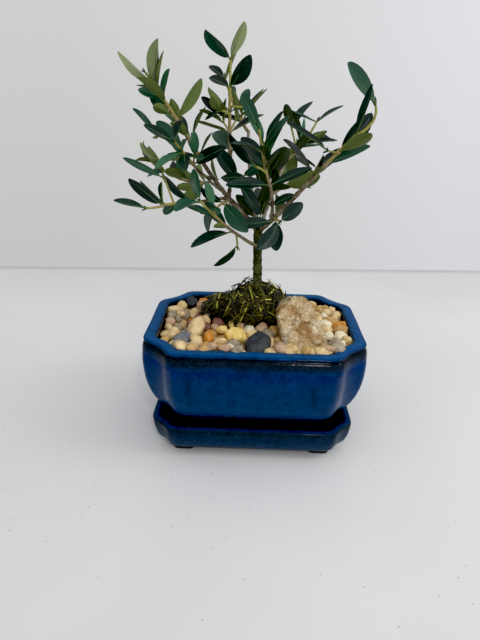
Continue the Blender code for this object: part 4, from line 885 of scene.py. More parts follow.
THIN = (0.8, 0.7)
SHOOTS = [shoot(*row) for row in (
    ("left", ("left", 1.0), (-52, -9, 225), (-64, -13, 243), 5, 120, (56, 36), (24, 25), 0.33, 658, 0.06,
     0.15, (1.4, 0.9)),
    ("left", (-64, -13, 243), (-67, -14, 248), (-70, -14, 252), 2, 135, (32, 32), (26, 26), 0.31, 975, 0.1,
     0.0, (0.9, 0.7)),
    ("leader", ("leader", 1.0), (-21, 7, 223), (-21, 7, 245), 4, 120, (68, 54), (23, 23), 0.33, 640, 0.12,
     0.35, (1.3, 0.9)),
    ("leader", (-21, 7, 229), (-23, 5, 231), (-26, 3, 232), 1, 105, (32, 18), (23, 23), 0.36, 692, 1.0, 0.0,
     THIN),
    ("leader", (-21, 7, 245), (-21, 8, 253), (-21, 8, 261), 1, 135, (35, 41), (23, 23), 0.4, 715, 1.0, 0.0,
     (0.9, 0.7)),
    ("back", ("back", 1.0), (-17, 36, 230), (-26, 42, 251), 3, 75, (55, 35), (23, 22), 0.32, 1486, 0.3, 0.1,
     (1.2, 0.8)),
    ("right", ("right", 1.0), (43, -13, 205), (56, -18, 220), 4, 165, (32, 26), (28, 28), 0.29, 1149, 0.08,
     0.0, (1.5, 1.0)),
    ("right", (56, -18, 220), (65, -19, 228), (66, -20, 237), 1, 0, (24, 38), (32, 32), 0.27, 1600, 1.0),
    ("front", ("front", 1.0), (2, -15, 203), (-2, -24, 223), 4, 135, (63, 34), (25, 25), 0.31, 1394, 0.05,
     0.25, (1.1, 0.7)),
    ("front", (4, -12, 196), (1.2, -16, 198.8), (-3, -19, 201), 1, 60, (43, 29), (23, 23), 0.36, 227, 1.0,
     0.0, THIN),
    ("back_right", ("back_right", 1.0), (31, 42, 211), (40, 46, 225), 4, 30, (60, 38), (24, 23), 0.26, 1642,
     0.12, 0.2, (1.1, 0.7)),
    ("back_right", (26, 40, 206), (24, 42.8, 213.8), (22, 44, 220), 1, 165, (40, 34), (24, 24), 0.3, 1057,
     1.0, 0.0, THIN),
    ("low_left", ("low_left", 1.0), (-25, -18, 166), (-37, -30, 181), 3, 45, (65, 34), (24, 22), 0.32, 1539,
     0.3, 0.15, (1.1, 0.7)),
    ("low_left", (-13, -4, 153), (-16, -6, 155), (-18, -9, 157), 1, 135, (30, 30), (29, 29), 0.28, 1492, 1.0,
     0.0, THIN),
    ("low_left", (-15, -6, 155), (-14.5, -4.8, 150.3), (-14, -5, 146), 1, 135, (40, 24), (28, 28), 0.28, 538,
     1.0, 0.0, THIN),
    ("side_left", ("side_left", 1.0), (-48, -26, 179), (-58, -34, 179), 3, 45, (63, 55), (22, 22), 0.42, 326,
     0.25, 0.0, (0.95, 0.8)),
    ("side_left", (-58, -34, 179), (-63, -37, 178), (-68, -40, 178), 2, 60, (53, 30), (24, 26), 0.36, 1398,
     0.15, 0.0, (0.8, 0.65)),
    ("second_left", ("second_left", 1.0), (-47, -19, 207), (-52, -28, 215), 3, 150, (58, 38), (24, 25), 0.3,
     152, 0.1, 0.15),
    ("back_left", ("back_left", 1.0), (-57, 38, 183), (-81, 42, 195), 5, 30, (71, 32), (23, 21), 0.36, 851,
     0.1, 0.1, (1.1, 0.6)),
    ("inner", ("back", 0.2), (4, 22, 180), (4, 26, 196), 4, 45, (58, 46), (25, 24), 0.4, 12, 0.15, 0.15),
    ("fork", ("right", 0.3), (12, -3, 165), (14, -10, 165), 2, 60, (75, 62), (23, 22), 0.42, 152, 0.4),
    ("under_left", ("left", 0.5), (-25, -12, 176), (-29, -18, 173), 2, 15, (52, 56), (24, 24), 0.33, 1253,
     0.4),
    ("inner_right", ("back_right", 0.5), (17, 38, 179), (23, 46, 182), 3, 105, (68, 50), (25, 24), 0.4, 1628,
     0.2),
    ("inner_left", ("leader", 0.4), (-13, 2, 190), (-11, -6, 193), 2, 75, (76, 44), (24, 22), 0.34, 1650,
     0.3),
)]

print("shoots:", len(SHOOTS), "pairs of leaves:", sum(row["pairs"] for row in SHOOTS))

# %% The rule for leaves
LOST, YOUNG_SPREAD, YOUNG_LENGTH = 0.14, 32.0, 0.78


def across(axis):
    """the level direction across an axis, and the direction square to both"""
    level = np.cross(axis, (0.0, 0.0, 1.0))
    if np.linalg.norm(level) < 0.05:
        level = np.array((1.0, 0.0, 0.0))
    level = unit(level - axis * (level @ axis))
    return level, np.cross(level, axis)


def turned(v, axis, degrees):
    """v cos a + (axis x v) sin a + axis (axis . v) (1 - cos a)"""
    a = math.radians(degrees)
    return v * math.cos(a) + np.cross(axis, v) * math.sin(a) + axis * (axis @ v) * (1 - math.cos(a))


# %% One leaf
def leaf_on(rng, point, axis, turn, spread, length, plump):
    """one leaf off the axis at the spread, its size, twist and bend drawn within the species' range"""
    turn += rng.uniform(-15.0, 15.0)
    spread += rng.uniform(-17.0, 17.0)
    long = length * rng.uniform(0.78, 1.18)
    wide = long * plump * rng.uniform(0.8, 1.35)
    return dict(point=point, axis=axis, turn=turn, spread=spread, long=long, wide=wide,
                twist=rng.uniform(-35.0, 35.0), bend=rng.uniform(0.0, 0.16), young=False)


def leaf_frame(leaf):
    """the leaf's direction, axis cos(spread) + out sin(spread), its upper face's normal, and the direction
    across the blade"""
    level, lean = across(leaf["axis"])
    a, s = math.radians(leaf["turn"]), math.radians(leaf["spread"])
    out = level * math.cos(a) + lean * math.sin(a)
    way = unit(leaf["axis"] * math.cos(s) + out * math.sin(s))
    face = turned(unit(leaf["axis"] * math.sin(s) - out * math.cos(s)), way, leaf["twist"])
    return way, face, np.cross(way, face)


# %% Growing a shoot
def pair_places(row):
    """the shares of a shoot's arc at which its pairs of leaves stand"""
    return [row["first"] + (1 - row["first"]) * (k / max(row["pairs"] - 1, 1)) for k in range(row["pairs"])]


def grow(row):
    """the leaves and side twigs of one shoot, in the order in which its seed deals them out"""
    rng = random.Random(row["seed"])
    leaves, twigs, pairs = [], [], row["pairs"]
    for k, place in enumerate(pair_places(row)):
        share = k / max(pairs - 1, 1)
        point, axis = on_arc(*row["arc"], place)
        turn = row["roll"] + 90 * k + rng.uniform(-18.0, 18.0)
        spread, length = [from_foot + (to_tip - from_foot) * share
                          for from_foot, to_tip in (row["spread"], row["leaf"])]
        for half in (0, 180):
            lost = rng.random() < LOST
            leaf = leaf_on(rng, point, axis, turn + half, spread, length, row["plump"])
            budding = rng.random() < row["twiggy"] and k < pairs - 1
            reach = rng.uniform(4.0, 9.0)
            way = unit(axis * 1.1 + leaf_frame(leaf)[0])
            end = point + way * reach
            young = [leaf_on(rng, end, way, turn + 90 + other, YOUNG_SPREAD, length * YOUNG_LENGTH,
                             row["plump"]) for other in (0, 180)]
            if not lost:
                leaves.append(leaf)
            if budding:
                twigs.append((point, end, young))
    return leaves, twigs


# %% Plain leaves
SMALL_TURNS = ((0, 0), (0, -12), (0, 12), (12, 0), (-12, 0), (12, -12), (-12, -12), (12, 12), (-12, 12),
               (25, 0), (-25, 0), (25, -14), (-25, -14), (25, 14), (-25, 14), (40, 0), (-40, 0))
CLEARANCE = 0.3
CROWN_LEFT, CROWN_RIGHT, CROWN_DEEP = -90.5, 79, 59.2


def leaf_block(leaf, fatter=0.0, start=0):
    """the plain solid of a leaf, only to test what it would touch: four-sided sections and a point"""
    way, face, side = leaf_frame(leaf)
    droop = face * (leaf["bend"] * leaf["long"])
    at, wide = np.array(((0.0, 0.1), (0.3, 0.88), (0.7, 0.88)))[start:].T[..., None]
    middle = leaf["point"] + way * (leaf["long"] * at - 0.5 * (at == 0)) - droop * at ** 2
    half = side * (leaf["wide"] / 2 * wide + fatter)
    edge = middle + face * (0.12 * leaf["wide"] * wide)
    thick = face * (0.28 + fatter)
    tip = leaf["point"] + way * (leaf["long"] + fatter) - droop
    sections = np.stack((edge - half, middle + thick, edge + half, middle - thick), 1)
    points = np.vstack((sections.reshape(-1, 3), tip))
    rows = len(at)
    last = 4 * rows - 4
    end = np.array([(last + i, last + (i + 1) % 4, last + 4) for i in range(4)])
    return points, [np.array([(3, 2, 1, 0)]), grid_faces(rows, 4), end]


# %% Search trees
def tree_of(points, faces):
    """a search tree that finds which faces of two shapes cross"""
    return BVHTree.FromPolygons(points.tolist(), listed(faces), epsilon=0.0)


def tube_tree(arc, radii, stations, sides, flare=0.0):
    """the search tree of a limb that is thicker all round by the clearance"""
    t = np.linspace(0, 1, stations)
    line, along = on_arc(*arc, t)
    line[0], line[-1] = line[0] - along[0] * CLEARANCE, line[-1] + along[-1] * CLEARANCE
    rise = abs(arc[2][2] - arc[0][2]) * t
    width = radii[0] + (radii[1] - radii[0]) * t + flare * np.exp(-rise / 9) + CLEARANCE
    return tree_of(*tubes(line[None], width[None], sides))


# %% Keeping leaves apart
def outside(points):
    """true where a shape leaves the space that the crown keeps to"""
    x, y, _ = points.T
    return x.min() < CROWN_LEFT or x.max() > CROWN_RIGHT or np.abs(y).max() > CROWN_DEEP


def settle(leaf, others, own):
    """the leaf, turned by small steps until it is clear of limbs and other leaves, or None"""
    for aside, lift in SMALL_TURNS:
        tried = dict(leaf, turn=leaf["turn"] + aside, spread=leaf["spread"] + lift)
        points, faces = leaf_block(tried)
        if outside(points):
            continue
        whole, blade = tree_of(points, faces), tree_of(*leaf_block(tried, start=1))
        if not any(t.overlap(whole) for t in others) and not any(t.overlap(blade) for t in own):
            return tried
    return None


# %% The leaves of every mass
taken = [(name, tube_tree(arc, radii, *((15, 12, TRUNK_FLARE) if name == "trunk" else (8, 8))))
         for name, (*arc, radii) in LIMBS.items()]
taken += [(row["mass"], tube_tree(row["arc"], row["radii"], 8, 8)) for row in SHOOTS]
leaves, twigs = [], []
for mass in dict.fromkeys(row["mass"] for row in SHOOTS):
    others, own = [tree for name, tree in taken if name != mass], []
    for number, row in enumerate(SHOOTS):
        if row["mass"] != mass:
            continue
        grown, budding = grow(row)
        for foot, end, young in budding:
            line = np.stack((foot, (foot + end) / 2, end))
            points, faces = tubes(line[None], np.array([[0.7, 0.65, 0.6]]), 4)
            twig = tree_of(points, faces)
            if outside(points) or any(tree.overlap(twig) for tree in others):
                continue
            twigs.append((number, foot, end))
            grown += [dict(leaf, young=True) for leaf in young]
        for leaf in grown:
            settled = settle(leaf, others, own)
            if settled is None:
                continue
            taken.append((mass, tree_of(*leaf_block(settled, CLEARANCE))))
            own.append(tree_of(*leaf_block(settled, CLEARANCE, 1)))
            leaves.append(dict(settled, row=number))
print("leaves:", len(leaves), "side twigs:", len(twigs))

# %% [markdown]
# ## Finer twigs
#
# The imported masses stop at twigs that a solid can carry. The real crown fills some gaps with leaves on
# finer ones. Each row below is such a leaf, from base to tip, with its width. Its twig leaves the nearest
# limb, and its upper face turns to the sky and away from the trunk, as leaves do.

# %% Leaves on finer twigs
FINER = (((-60, -33, 179), (-60, -36, 193), 7.5), ((-65, -8, 217), (-80, -14, 232), 6.5),
         ((-66, -10, 202), (-76, -16, 213), 5.5), ((-21, 6, 231), (-35, 2, 245), 8.0),
         ((-22, 8, 228), (-40, 12, 240), 6.5), ((-8, 9, 234), (2, 6, 246), 6.0),
         ((33, -10, 198), (14, -16, 218), 8.5), ((30, -6, 188), (38, -10, 208), 8.0),
         ((-2, 14, 161), (-16, 18, 177), 10.0), ((1, 15, 161), (7, 20, 183), 9.5),
         ((8, 2, 173), (23, -4, 182), 7.0), ((-42, 2, 203), (-49, 4, 220), 7.0),
         ((-29, 4, 189), (-33, 2, 204), 7.0), ((-23, 10, 171), (-19, 14, 188), 8.0),
         ((40, -24, 212), (15, -16, 228), 7.5), ((-60, -22, 193), (-86, -20, 205), 5.0),
         ((10, -5, 164), (-17, -14, 162), 9.0), ((-45, -2, 216), (-37, 4, 235), 8.0),
         ((-39, -6, 207), (-32, -4, 220), 4.5))
TRUNK_AXIS = (0, 8, 0)
LINE_STEPS = 30
FAR_LEFT, SHORTER = -89.4, 0.94


def turn_to_face(axis, wish):
    """the turn about its own way, in degrees, that brings a leaf's upper side nearest to a direction"""
    level, lean = across(axis)
    return math.degrees(math.atan2(-(wish @ lean), -(wish @ level)))


stems_at = [on_arc(*row["arc"], np.linspace(0.05, 0.95, LINE_STEPS))[0] for row in SHOOTS]
boughs_at = [on_arc(*row[:3], np.linspace(0.1, 0.95, LINE_STEPS))[0]
             for name, row in LIMBS.items() if name != "trunk"]
wood, stems = np.vstack(boughs_at + stems_at), np.vstack(stems_at)
for base, tip, wide in FINER:
    base, tip = np.array((base, tip), float)
    nearest = wood[np.linalg.norm(wood - base, axis=1).argmin()]
    number = int(np.linalg.norm(stems - base, axis=1).argmin()) // LINE_STEPS
    axis = unit(tip - base)
    turn = turn_to_face(axis, unit((base - TRUNK_AXIS) * (1, 1, 0)) * 0.7 + (0, 0, 0.5))
    twigs.append((number, nearest, base))
    leaves.append(dict(point=base, axis=axis, turn=turn, spread=0.0, long=float(np.linalg.norm(tip - base)),
                       wide=wide, twist=0.0, bend=0.06, young=False, row=number))
for leaf in leaves:
    if (leaf["point"] + leaf_frame(leaf)[0] * leaf["long"])[0] < FAR_LEFT:
        leaf["long"] *= SHORTER
print("leaves with those on finer twigs:", len(leaves))

# %% Leaves turned to show the side that the photo shows
# the tip of each, the colours of its upper and lower side, and whether it is turned over
OUTER_LEAVES = (((-83, -58, 185), "dark", "olive", True), ((-35, -7, 276), "green", "olive", True),
                ((-13, 14, 283), "green", "silver", True), ((-9, -7, 263), "dark", "olive", True),
                ((-38, -6, 250), "green", "olive", True), ((62, -26, 249), "dark", "olive", True),
                ((-86, -13, 263), "green", "silver", True), ((0, -49, 235), "green", "olive", True),
                ((49, -6, 261), "green", "olive", False), ((67, -16, 215), "green", "olive", False),
                ((-79, -15, 233), "green", "olive", True))
# tips that lie a little elsewhere in the photo: the place by the rule, then the place seen
AIMED = (((29, 50, 242), (16, 44, 234)), ((57, 51, 234), (58, 51, 238)), ((54, 49, 208), (55, 42, 216)),
         ((-84, -34, 191), (-80, -34, 194)), ((-16, -36, 154), (-30, -24, 165)),
         ((-47, -27, 172), (-38, -24, 172)), ((-49, -4, 223), (-37, 2, 227)),
         ((37, -10, 209), (40, -12, 208)), ((0, -49, 235), (-13, -30, 243)),
         ((-56, -18, 263), (-60, -18, 264)), ((-86, -14, 249), (-74, -20, 247)))
SLENDER = 0.32


def tip_of(leaf):
    """where the leaf ends: point + (way - face bend) long"""
    way, face, _ = leaf_frame(leaf)
    return leaf["point"] + (way - face * leaf["bend"]) * leaf["long"]


ends = np.array([tip_of(leaf) for leaf in leaves])
for tip, above, below, over in OUTER_LEAVES:
    leaf = leaves[np.linalg.norm(ends - tip, axis=1).argmin()]
    leaf.update(above=above, below=below)
    if over:
        leaf["twist"] += 180
        leaf["bend"] *= -1
for tip, seen in AIMED:
    leaf = leaves[np.linalg.norm(ends - tip, axis=1).argmin()]
    reach = np.array(seen, float) - leaf["point"]
    long = float(np.linalg.norm(reach))
    leaf.update(turn=turn_to_face(unit(reach), leaf_frame(leaf)[1]), axis=unit(reach), spread=0.0, twist=0.0,
                long=long, wide=min(leaf["wide"], SLENDER * long))
print("leaves turned over and aimed:", sum(row[3] for row in OUTER_LEAVES), len(AIMED))

# %% [markdown]
# ## Stems
#
# From each bough's tip a stem grows on, grey-tan where it is a year old and yellow-green where it is new.
# It swells at each pair of leaves, and it ends in a bud with two tiny leaves. How young each point is, is
# stored on the mesh, and a colour ramp reads it.

# %% Stems and twigs
STEM_SIDES, TWIG_SIDES, TWIG_STATIONS = 10, 8, 6
HIGH_UP, YOUNG_WOOD, TWIG_YOUTH = 240, 0.55, 0.8
stem_shapes, youth, tips = [], [], []
for k, row in enumerate(SHOOTS):
    long, side_shoot = span(row["arc"]), row["first"] == 1
    stations = int(long * 1.3) + 8
    height = np.linspace(0, 1, stations)
    line, along = on_arc(*row["arc"], height)
    line[0] -= along[0] * 0.6
    width = np.linspace(*row["radii"], stations)
    for place in pair_places(row):
        width = width * (1 + 0.34 * np.exp(-((height - place) * long / 0.9) ** 2))
    width[-1] *= 0.55
    shape = tubes(line[None], width[None], STEM_SIDES, lambda p: 0.06 * ripples(p, 2.2, 60 + k, 12))
    stem_shapes.append(shape)
    if side_shoot:
        height = np.linspace(0.75, 1, stations)
    later = YOUNG_WOOD if row["arc"][0][2] > HIGH_UP or side_shoot else 0.0
    youth.append(np.repeat(np.clip(height * 0.8 + later + (1.2 - width) * 0.25, 0, 1), STEM_SIDES))
    tips.append((line[-1], along[-1], k))
for number, foot, end in twigs:
    line, width = np.linspace(foot, end, TWIG_STATIONS), np.linspace(0.72, 0.55, TWIG_STATIONS)
    stem_shapes.append(tubes(line[None], width[None], TWIG_SIDES, lambda p: 0.04 * ripples(p, 2, 9)))
    youth.append(np.full(TWIG_STATIONS * TWIG_SIDES, TWIG_YOUTH))
    tips.append((end, unit(end - foot), number))
print("stems and side twigs:", len(stem_shapes))

# %% Skin of the stems
shoot_bark, tree, shader, place = surface("young_olive_shoot_skin", IOR=1.45, Roughness=0.6,
                                          Specular_IOR_Level=0.3)
age = add(tree, "Attribute", attribute_name="youth").outputs["Fac"]
fleck = add(tree, "TexNoise", {"Scale": 330.0, "Detail": 3.0}, {"Vector": place})
shift = add(tree, "MapRange", {"From Min": 0.3, "From Max": 0.7, "To Min": -0.16, "To Max": 0.16},
            {"Value": fleck})
at = add(tree, "Math", links={0: age, 1: shift}, operation="ADD")
skin = add(tree, "ValToRGB", links={0: at}, stops=(
    (0.0, "#7e7158"), (0.3, "#8f8060"), (0.55, "#94834f"), (0.8, "#928a48"), (1.0, "#9a9a4e")))
dress(tree, shader, {"Base Color": skin}, fleck, 0.4, 0.0003)
piece("stems", joined(stem_shapes), shoot_bark, MASS_NODES, {"youth": np.concatenate(youth)})

# %% [markdown]
# ## Leaf blades
#
# An olive leaf is leathery and narrow: dark, waxy green above, with a fine groove over the midrib, and
# pale below with a raised rib, because silvery scales cover its underside. Its margins roll down. A
# picture on a flat card would be the usual short cut for a big tree, but here each leaf is large in the
# view, so each has a real outline. One function of two parameters, s from stalk to point and t from
# margin to margin, is worked out for all leaves at once.

# %% Blade measures and outline
S_ROWS = 0.5 - 0.5 * np.cos(np.linspace(0, math.pi, 12)[1:-1])
T_COLUMNS = np.array((-1.0, -0.6, -0.13, 0.13, 0.6, 1.0))
STALK = 0.1
SKIN, CUP, GROOVE, RIB_OFF = 0.3, 0.27, 0.16, 0.27


def frames(leaves):
    """point, way, face and side by (leaf, 1, 1, xyz), and length, width and bend by (leaf, 1, 1, 1)"""
    way, face, side = np.moveaxis(np.array([leaf_frame(leaf) for leaf in leaves]), 1, 0)
    point = np.array([leaf["point"] for leaf in leaves])
    sizes = np.array([(leaf["long"], leaf["wide"], leaf["bend"]) for leaf in leaves]).T[..., None]
    return [array[:, None, None] for array in (point, way, face, side, *sizes)]


def outline(u):
    """half width 0.93 sin(pi u^1.04)^0.58: 0 at the stalk, greatest near the middle, 0 at the point"""
    return 0.93 * np.sin(math.pi * np.clip(u, 0, 1) ** 1.04) ** 0.58


# %% Blade surfaces
def sheet(leaves, upper):
    """the blade's upper or lower skin: point + way long s - face bend long s^2, cupped, waved and rolled"""
    point, way, face, side, long, wide, bend = frames(leaves)
    u = S_ROWS[None, :, None, None]
    t = T_COLUMNS[None, None, :, None]
    s = STALK + (1 - STALK) * u
    swing, start, lean = np.array([leaf["waves"] for leaf in leaves]).T[..., None, None, None]
    wave = 0.035 * np.sin(u * swing + start)
    sway = 0.05 * np.sin(u * math.pi) * lean
    half = outline(u)
    skin = SKIN if upper else -SKIN
    lift = CUP * wide * half * np.abs(t) ** 1.15 + (skin * (1 - np.abs(t) ** 3)) * half ** 0.5
    lift = lift - 0.25 * np.abs(t) ** 6 * half + wave * wide * np.abs(t)
    if upper:
        lift = lift - GROOVE * (np.abs(t) < 0.2) * half
    spread = side * (wide / 2 * half * t + sway * wide)
    grid = point + way * long * s - face * bend * long * s ** 2 + spread + face * lift
    base = point + way * long * STALK - face * bend * long * STALK ** 2
    tip = point + way * long - face * bend * long
    rows, columns = len(S_ROWS), len(T_COLUMNS)
    points = np.concatenate((base[:, 0], grid.reshape(len(leaves), -1, 3), tip[:, 0]), 1)
    faces = grid_faces(rows, columns, closed=False) + 1
    j = np.arange(columns - 1)
    last = 1 + (rows - 1) * columns
    ends = np.concatenate((np.stack((0 * j, j + 2, j + 1), -1),
                           np.stack((last + j, last + j + 1, 0 * j + last + columns), -1)))
    if not upper:
        faces, ends = faces[:, ::-1], ends[:, ::-1]
    start = (np.arange(len(leaves)) * points.shape[1])[:, None, None]
    return points.reshape(-1, 3), [(faces + start).reshape(-1, 4), (ends + start).reshape(-1, 3)]


# %% Ribs, stalks and new leaves
def rib(leaves, upper):
    """the stalk, then the midrib on along the blade: a tube that thins to nothing towards the point"""
    point, way, face, _, long, _, bend = [array[:, 0] for array in frames(leaves)]
    if upper:
        s = np.linspace(0.09, 0.9, 10)
        off, width = RIB_OFF, 0.27 * (1 - 0.75 * (s - 0.09) / 0.81)
    else:
        s = np.concatenate(((0.0,), np.linspace(0.05, 0.84, 9)))
        off = -SKIN * eased(s / 0.15)[None, :, None]
        width = np.interp(s, (0, 0.06, 0.12, 0.3, 0.84), (0.66, 0.55, 0.42, 0.22, 0.07))
    line = point + way * long * s[None, :, None] - face * bend * long * s[None, :, None] ** 2 + face * off
    return tubes(line, np.broadcast_to(width, (len(leaves), len(s))), 5)


def tiny_leaves(tips, seed):
    """two tiny new leaves at each tip, folded forward along the shoot"""
    rng = random.Random(seed)
    made = []
    for point, axis, number in tips:
        turn = rng.uniform(0, 360)
        made += [dict(point=point - axis * 0.5, axis=axis, turn=turn + half, spread=rng.uniform(10, 30),
                      row=number, young=True, long=rng.uniform(3.2, 6.0), wide=rng.uniform(1.2, 1.9),
                      twist=0.0, bend=-0.08) for half in (0, 180)]
    return made


# %% [markdown]
# ## Leaf colours, dealt out by spray, with painted light and shade
#
# Leaves that grew in the same season share a green, and the newest are fresher and paler. So a colour is
# dealt out by shoot, with a few leaves that differ, and each colour is a joined piece with one plain
# green. Light and shade are painted into the greens too: leaves near the fork take the deepest greens and
# the shade undersides as painted shade, leaves high up or far right take lighter greens as painted light,
# and only the sunny masses get silver undersides, as painted light. The wax above gives a soft shine, and
# the scales below give a matt, greyish bloom.

# %% Colours by leaf
UPPER = {"deep": "#0f1f19", "dark": "#1a2f26", "green": "#284a38", "fresh": "#376347"}
LOWER = {"silver": "#7a865e", "olive": "#5e6d3a", "shade": "#2e3c22"}
# painted light and shade: silver undersides only on the sunny masses, the deepest greens and shade undersides
# within reach of the fork, and lighter greens above a height or right of a line
SUNNY = ("leaves_left", "leaves_leader", "leaves_right", "leaves_second_left")
SHADE_MIDDLE, SHADE_REACH = np.array((2.0, 10.0, 168.0)), 30.0
PAINTED_LIGHT_HEIGHT, PAINTED_LIGHT_RIGHT = 222, 50
SHADED_PICKS, PAINTED_LIGHT_PICKS = ("deep", "deep", "dark"), ("dark", "green", "green")
PICKS = ("deep", "dark", "green")
every = leaves + tiny_leaves(tips, 4)
dealt = random.Random(15)
season = [dealt.choice(("deep", "dark", "dark", "green")) for _ in SHOOTS]
pale = [dealt.choice(("silver", "olive") if row["mass"] in SUNNY else ("olive", "shade")) for row in SHOOTS]
for leaf in every:
    leaf["waves"] = (dealt.uniform(5, 9), dealt.uniform(0, 6), dealt.gauss(0, 1))
    # painted shade near the fork, painted light on leaves high up or far right
    middle = leaf["point"] + leaf_frame(leaf)[0] * leaf["long"] / 2
    shaded = np.linalg.norm(middle - SHADE_MIDDLE) < SHADE_REACH
    painted_lit = leaf["point"][2] > PAINTED_LIGHT_HEIGHT or leaf["point"][0] > PAINTED_LIGHT_RIGHT
    picks = PAINTED_LIGHT_PICKS if painted_lit else PICKS
    if shaded:
        picks = SHADED_PICKS
    if leaf["young"] and dealt.random() < 0.7:
        top = "fresh"
    else:
        top = season[leaf["row"]] if dealt.random() < 0.4 else dealt.choice(picks)
    leaf.setdefault("above", "deep" if shaded and top != "dark" else top)
    leaf.setdefault("below", "shade" if shaded else pale[leaf["row"]] if dealt.random() < 0.75 else "olive")
print("leaves by upper colour:", {name: sum(leaf["above"] == name for leaf in every) for name in UPPER})


# %% Leaf pieces
def leaf_skin(name, colour, roughness, wax):
    """a waxy or scaly leaf skin: one green, with gloss and dimples that vary over a few millimetres"""
    made, tree, shader, place = surface(name, Base_Color=linear(colour), IOR=1.45, Specular_IOR_Level=wax)
    cloud = add(tree, "TexNoise", {"Scale": 320.0, "Detail": 3.0}, {"Vector": place})
    rough = add(tree, "MapRange", {"To Min": roughness - 0.08, "To Max": roughness + 0.12}, {"Value": cloud})
    dress(tree, shader, {"Roughness": rough}, cloud, 0.45, 0.0003)
    return made


for piece_name, finish_name, side, colours, upper, gloss in (
        ("leaf_tops", "waxy_olive_leaf", "above", UPPER, True, (0.32, 0.26)),
        ("leaf_undersides", "scaly_olive_underside", "below", LOWER, False, (0.62, 0.25))):
    for name, colour in colours.items():
        blades = sheet([leaf for leaf in every if leaf[side] == name], upper)
        finish = leaf_skin(f"{finish_name}_{name}", colour, *gloss)
        piece(f"{piece_name}_{name}", blades, finish, MASS_NODES)
for name, upper, finish in (("leaf_midribs", True, ("olive_midrib_green", "#5f8556", 0.45, 0.3)),
                            ("leaf_stalks", False, ("olive_leaf_stalk_green", "#646e3a", 0.5, 0.3))):
    piece(name, rib(leaves, upper), leaf_skin(*finish), MASS_NODES)

# %% [markdown]
# ## Table, light and camera
#
# The plant stands on a smooth white table in front of a pale wall. The table is a floor that ends
# behind the plant, and the wall is the world's colour, since a wall of its own would get in the way of
# views from behind. Light comes softly from the room behind and above, stronger from the right, so the
# front of the pot is in gentle shade and a faint shadow lies to the left.

# %% Table
TABLE_SLANT, TABLE_FRONT, TABLE_BACK, TABLE_SIDE = 0.063, -1.2, 0.380, 1.5
painted, tree, shader, place = surface("satin_white_table_paint", IOR=1.46, Roughness=0.45)
_, white = patches(tree, place, 4.0, 3.0, ((0.35, "#d6d6d6"), (0.65, "#dedddd")))
dust = add(tree, "TexVoronoi", {"Scale": 95.0}, {"Vector": place})
mote = add(tree, "ValToRGB", links={0: dust}, stops=((0.035, 0.55), (0.055, 1.0)))
xyz = add(tree, "SeparateXYZ", links={0: place}).outputs
slanted = add(tree, "Math", {1: -TABLE_SLANT}, {0: xyz["X"], 2: xyz["Y"]}, operation="MULTIPLY_ADD")
shifted = add(tree, "Math", {1: 0.5}, {0: slanted}, operation="ADD")
# painted shade: the table is darker towards the front and in a dark band along its far edge, where it meets
# the wall
painted_shade_on_table = add(tree, "ValToRGB", links={0: shifted}, stops=(
    (0.12, 0.9), (0.3, 0.935), (0.5, 1.0), (0.7, 1.0), (0.85, 0.99), (0.864, 0.965), (0.871, 0.79),
    (0.88, 0.76)))
dusted = add(tree, "Mix", {0: 1.0}, {COLOUR_A: white, COLOUR_B: mote}, **MULTIPLY)
finish = add(tree, "Mix", {0: 1.0}, {COLOUR_A: dusted, COLOUR_B: painted_shade_on_table}, **MULTIPLY)
dress(tree, shader, {"Base Color": finish})
u, v = np.meshgrid(np.linspace(-TABLE_SIDE, TABLE_SIDE, 4), np.linspace(TABLE_FRONT, TABLE_BACK, 4))
table_points = np.column_stack((u.ravel(), v.ravel() + TABLE_SLANT * u.ravel(), np.zeros(16)))
table_mesh = bpy.data.meshes.new("table")
table_mesh.from_pydata(table_points.tolist(), [], grid_faces(4, 4, closed=False).tolist())
table_mesh.materials.append(painted)
placed("table", table_mesh)
print("table ends", TABLE_BACK, "m behind the plant's middle")

# %% Wall colour and room light
LEVEL_LIGHT, OVERHEAD_LIGHT = 0.49, 0.96
world = bpy.data.worlds.new("pale_room")
world.use_nodes = True
bpy.context.scene.world = world
tree = world.node_tree
tree.nodes.clear()
way = add(tree, "TexCoord").outputs["Generated"]
xyz = add(tree, "SeparateXYZ", links={0: way}).outputs
# painted light and shade on the wall: lighter towards the right, on the window's side, and darker low down
across_wall = add(tree, "MapRange", {"From Min": -0.33, "From Max": 0.36}, {"Value": xyz["X"]})
wall = add(tree, "ValToRGB", links={0: across_wall}, stops=(
    (0.0, "#cfd0ce"), (0.5, "#d6d6d7"), (1.0, "#e2e1e6")))
up = add(tree, "MapRange", {"From Min": -0.34, "From Max": 0.12, "To Min": 0.88, "To Max": 1.0},
         {"Value": xyz["Z"]})
wall_shade = add(tree, "Mix", {0: 1.0}, {COLOUR_A: wall, COLOUR_B: up}, **MULTIPLY)
seen = add(tree, "Background", {"Strength": 1.0}, {"Color": wall_shade})
light = None
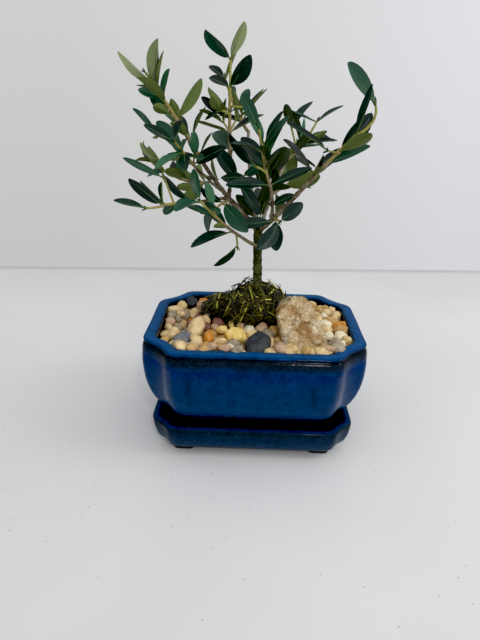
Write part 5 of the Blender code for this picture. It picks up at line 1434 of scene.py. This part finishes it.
for axis, start, first, last in (("Z", 0.0, LEVEL_LIGHT, OVERHEAD_LIGHT), ("X", -1.0, -0.1, 0.16),
                                 ("Y", -1.0, 0.34, -0.3)):
    part = add(tree, "MapRange", {"From Min": start, "From Max": 1.0, "To Min": first, "To Max": last},
               {"Value": xyz[axis]})
    light = add(tree, "Math", links={0: light, 1: part}, operation="ADD") if light else part
room = add(tree, "Background", {"Color": (0.96, 0.98, 1.0, 1)}, {"Strength": light})
eye_ray = add(tree, "LightPath").outputs["Is Camera Ray"]
both = add(tree, "MixShader", links={0: eye_ray, 1: room, 2: seen})
add(tree, "OutputWorld", links={0: both})
tone = bpy.context.scene.view_settings
tone.view_transform = "Standard"
tone.use_curve_mapping = True
tone.curve_mapping.black_level = (0.012, 0.012, 0.012)
print("room light overhead:", OVERHEAD_LIGHT, "and level with the plant:", LEVEL_LIGHT)

# %% Lamps
PLANT_MIDDLE = np.array((0, 0, 0.12))


def lamp(name, place, size, watts, tint):
    """a square soft light at a place in metres, turned to face the middle of the plant"""
    light = bpy.data.lights.new(name, "AREA")
    light.size, light.energy, light.color = size, watts, tint
    back = unit(np.array(place) - PLANT_MIDDLE)
    side = unit(np.cross((0, 0, 1), back))
    turn = np.column_stack((side, np.cross(back, side), back, place))
    placed(name, light).matrix_world = Matrix([*turn.tolist(), (0, 0, 0, 1)])
    print(name, "gives", watts, "W")


lamp("window", (0.9, -0.15, 0.8), 0.45, 3.1, (1.0, 0.99, 0.97))
lamp("lamp_behind_camera", (0.2, -0.85, 0.75), 0.07, 1.5, (1.0, 1.0, 1.0))

# %% Camera
# the camera's right, up and back, and its place, worked out from the rim, belly and tray in the photo
RIGHT = (0.9993878, 0.0274214, 0.0217282)
UP = (-0.0311847, 0.4166327, 0.9085399)
BACK = (0.0158607, -0.9086613, 0.4172327)
EYE = (np.array((-5.2414, -336.3077, 241.5944)) + POT_MIDDLE) * MM
lens = bpy.data.cameras.new("photo_view")
lens.sensor_width, lens.lens = 36.0, 27.62
lens.clip_start, lens.clip_end = 0.01, 20.0
view = placed("photo_view", lens)
view.matrix_world = Matrix([*np.column_stack((RIGHT, UP, BACK, EYE)).tolist(), (0, 0, 0, 1)])
bpy.context.scene.camera = view
print("camera, m above the table:", round(float(EYE[2]), 3))

# %% The end
bpy.context.view_layer.update()
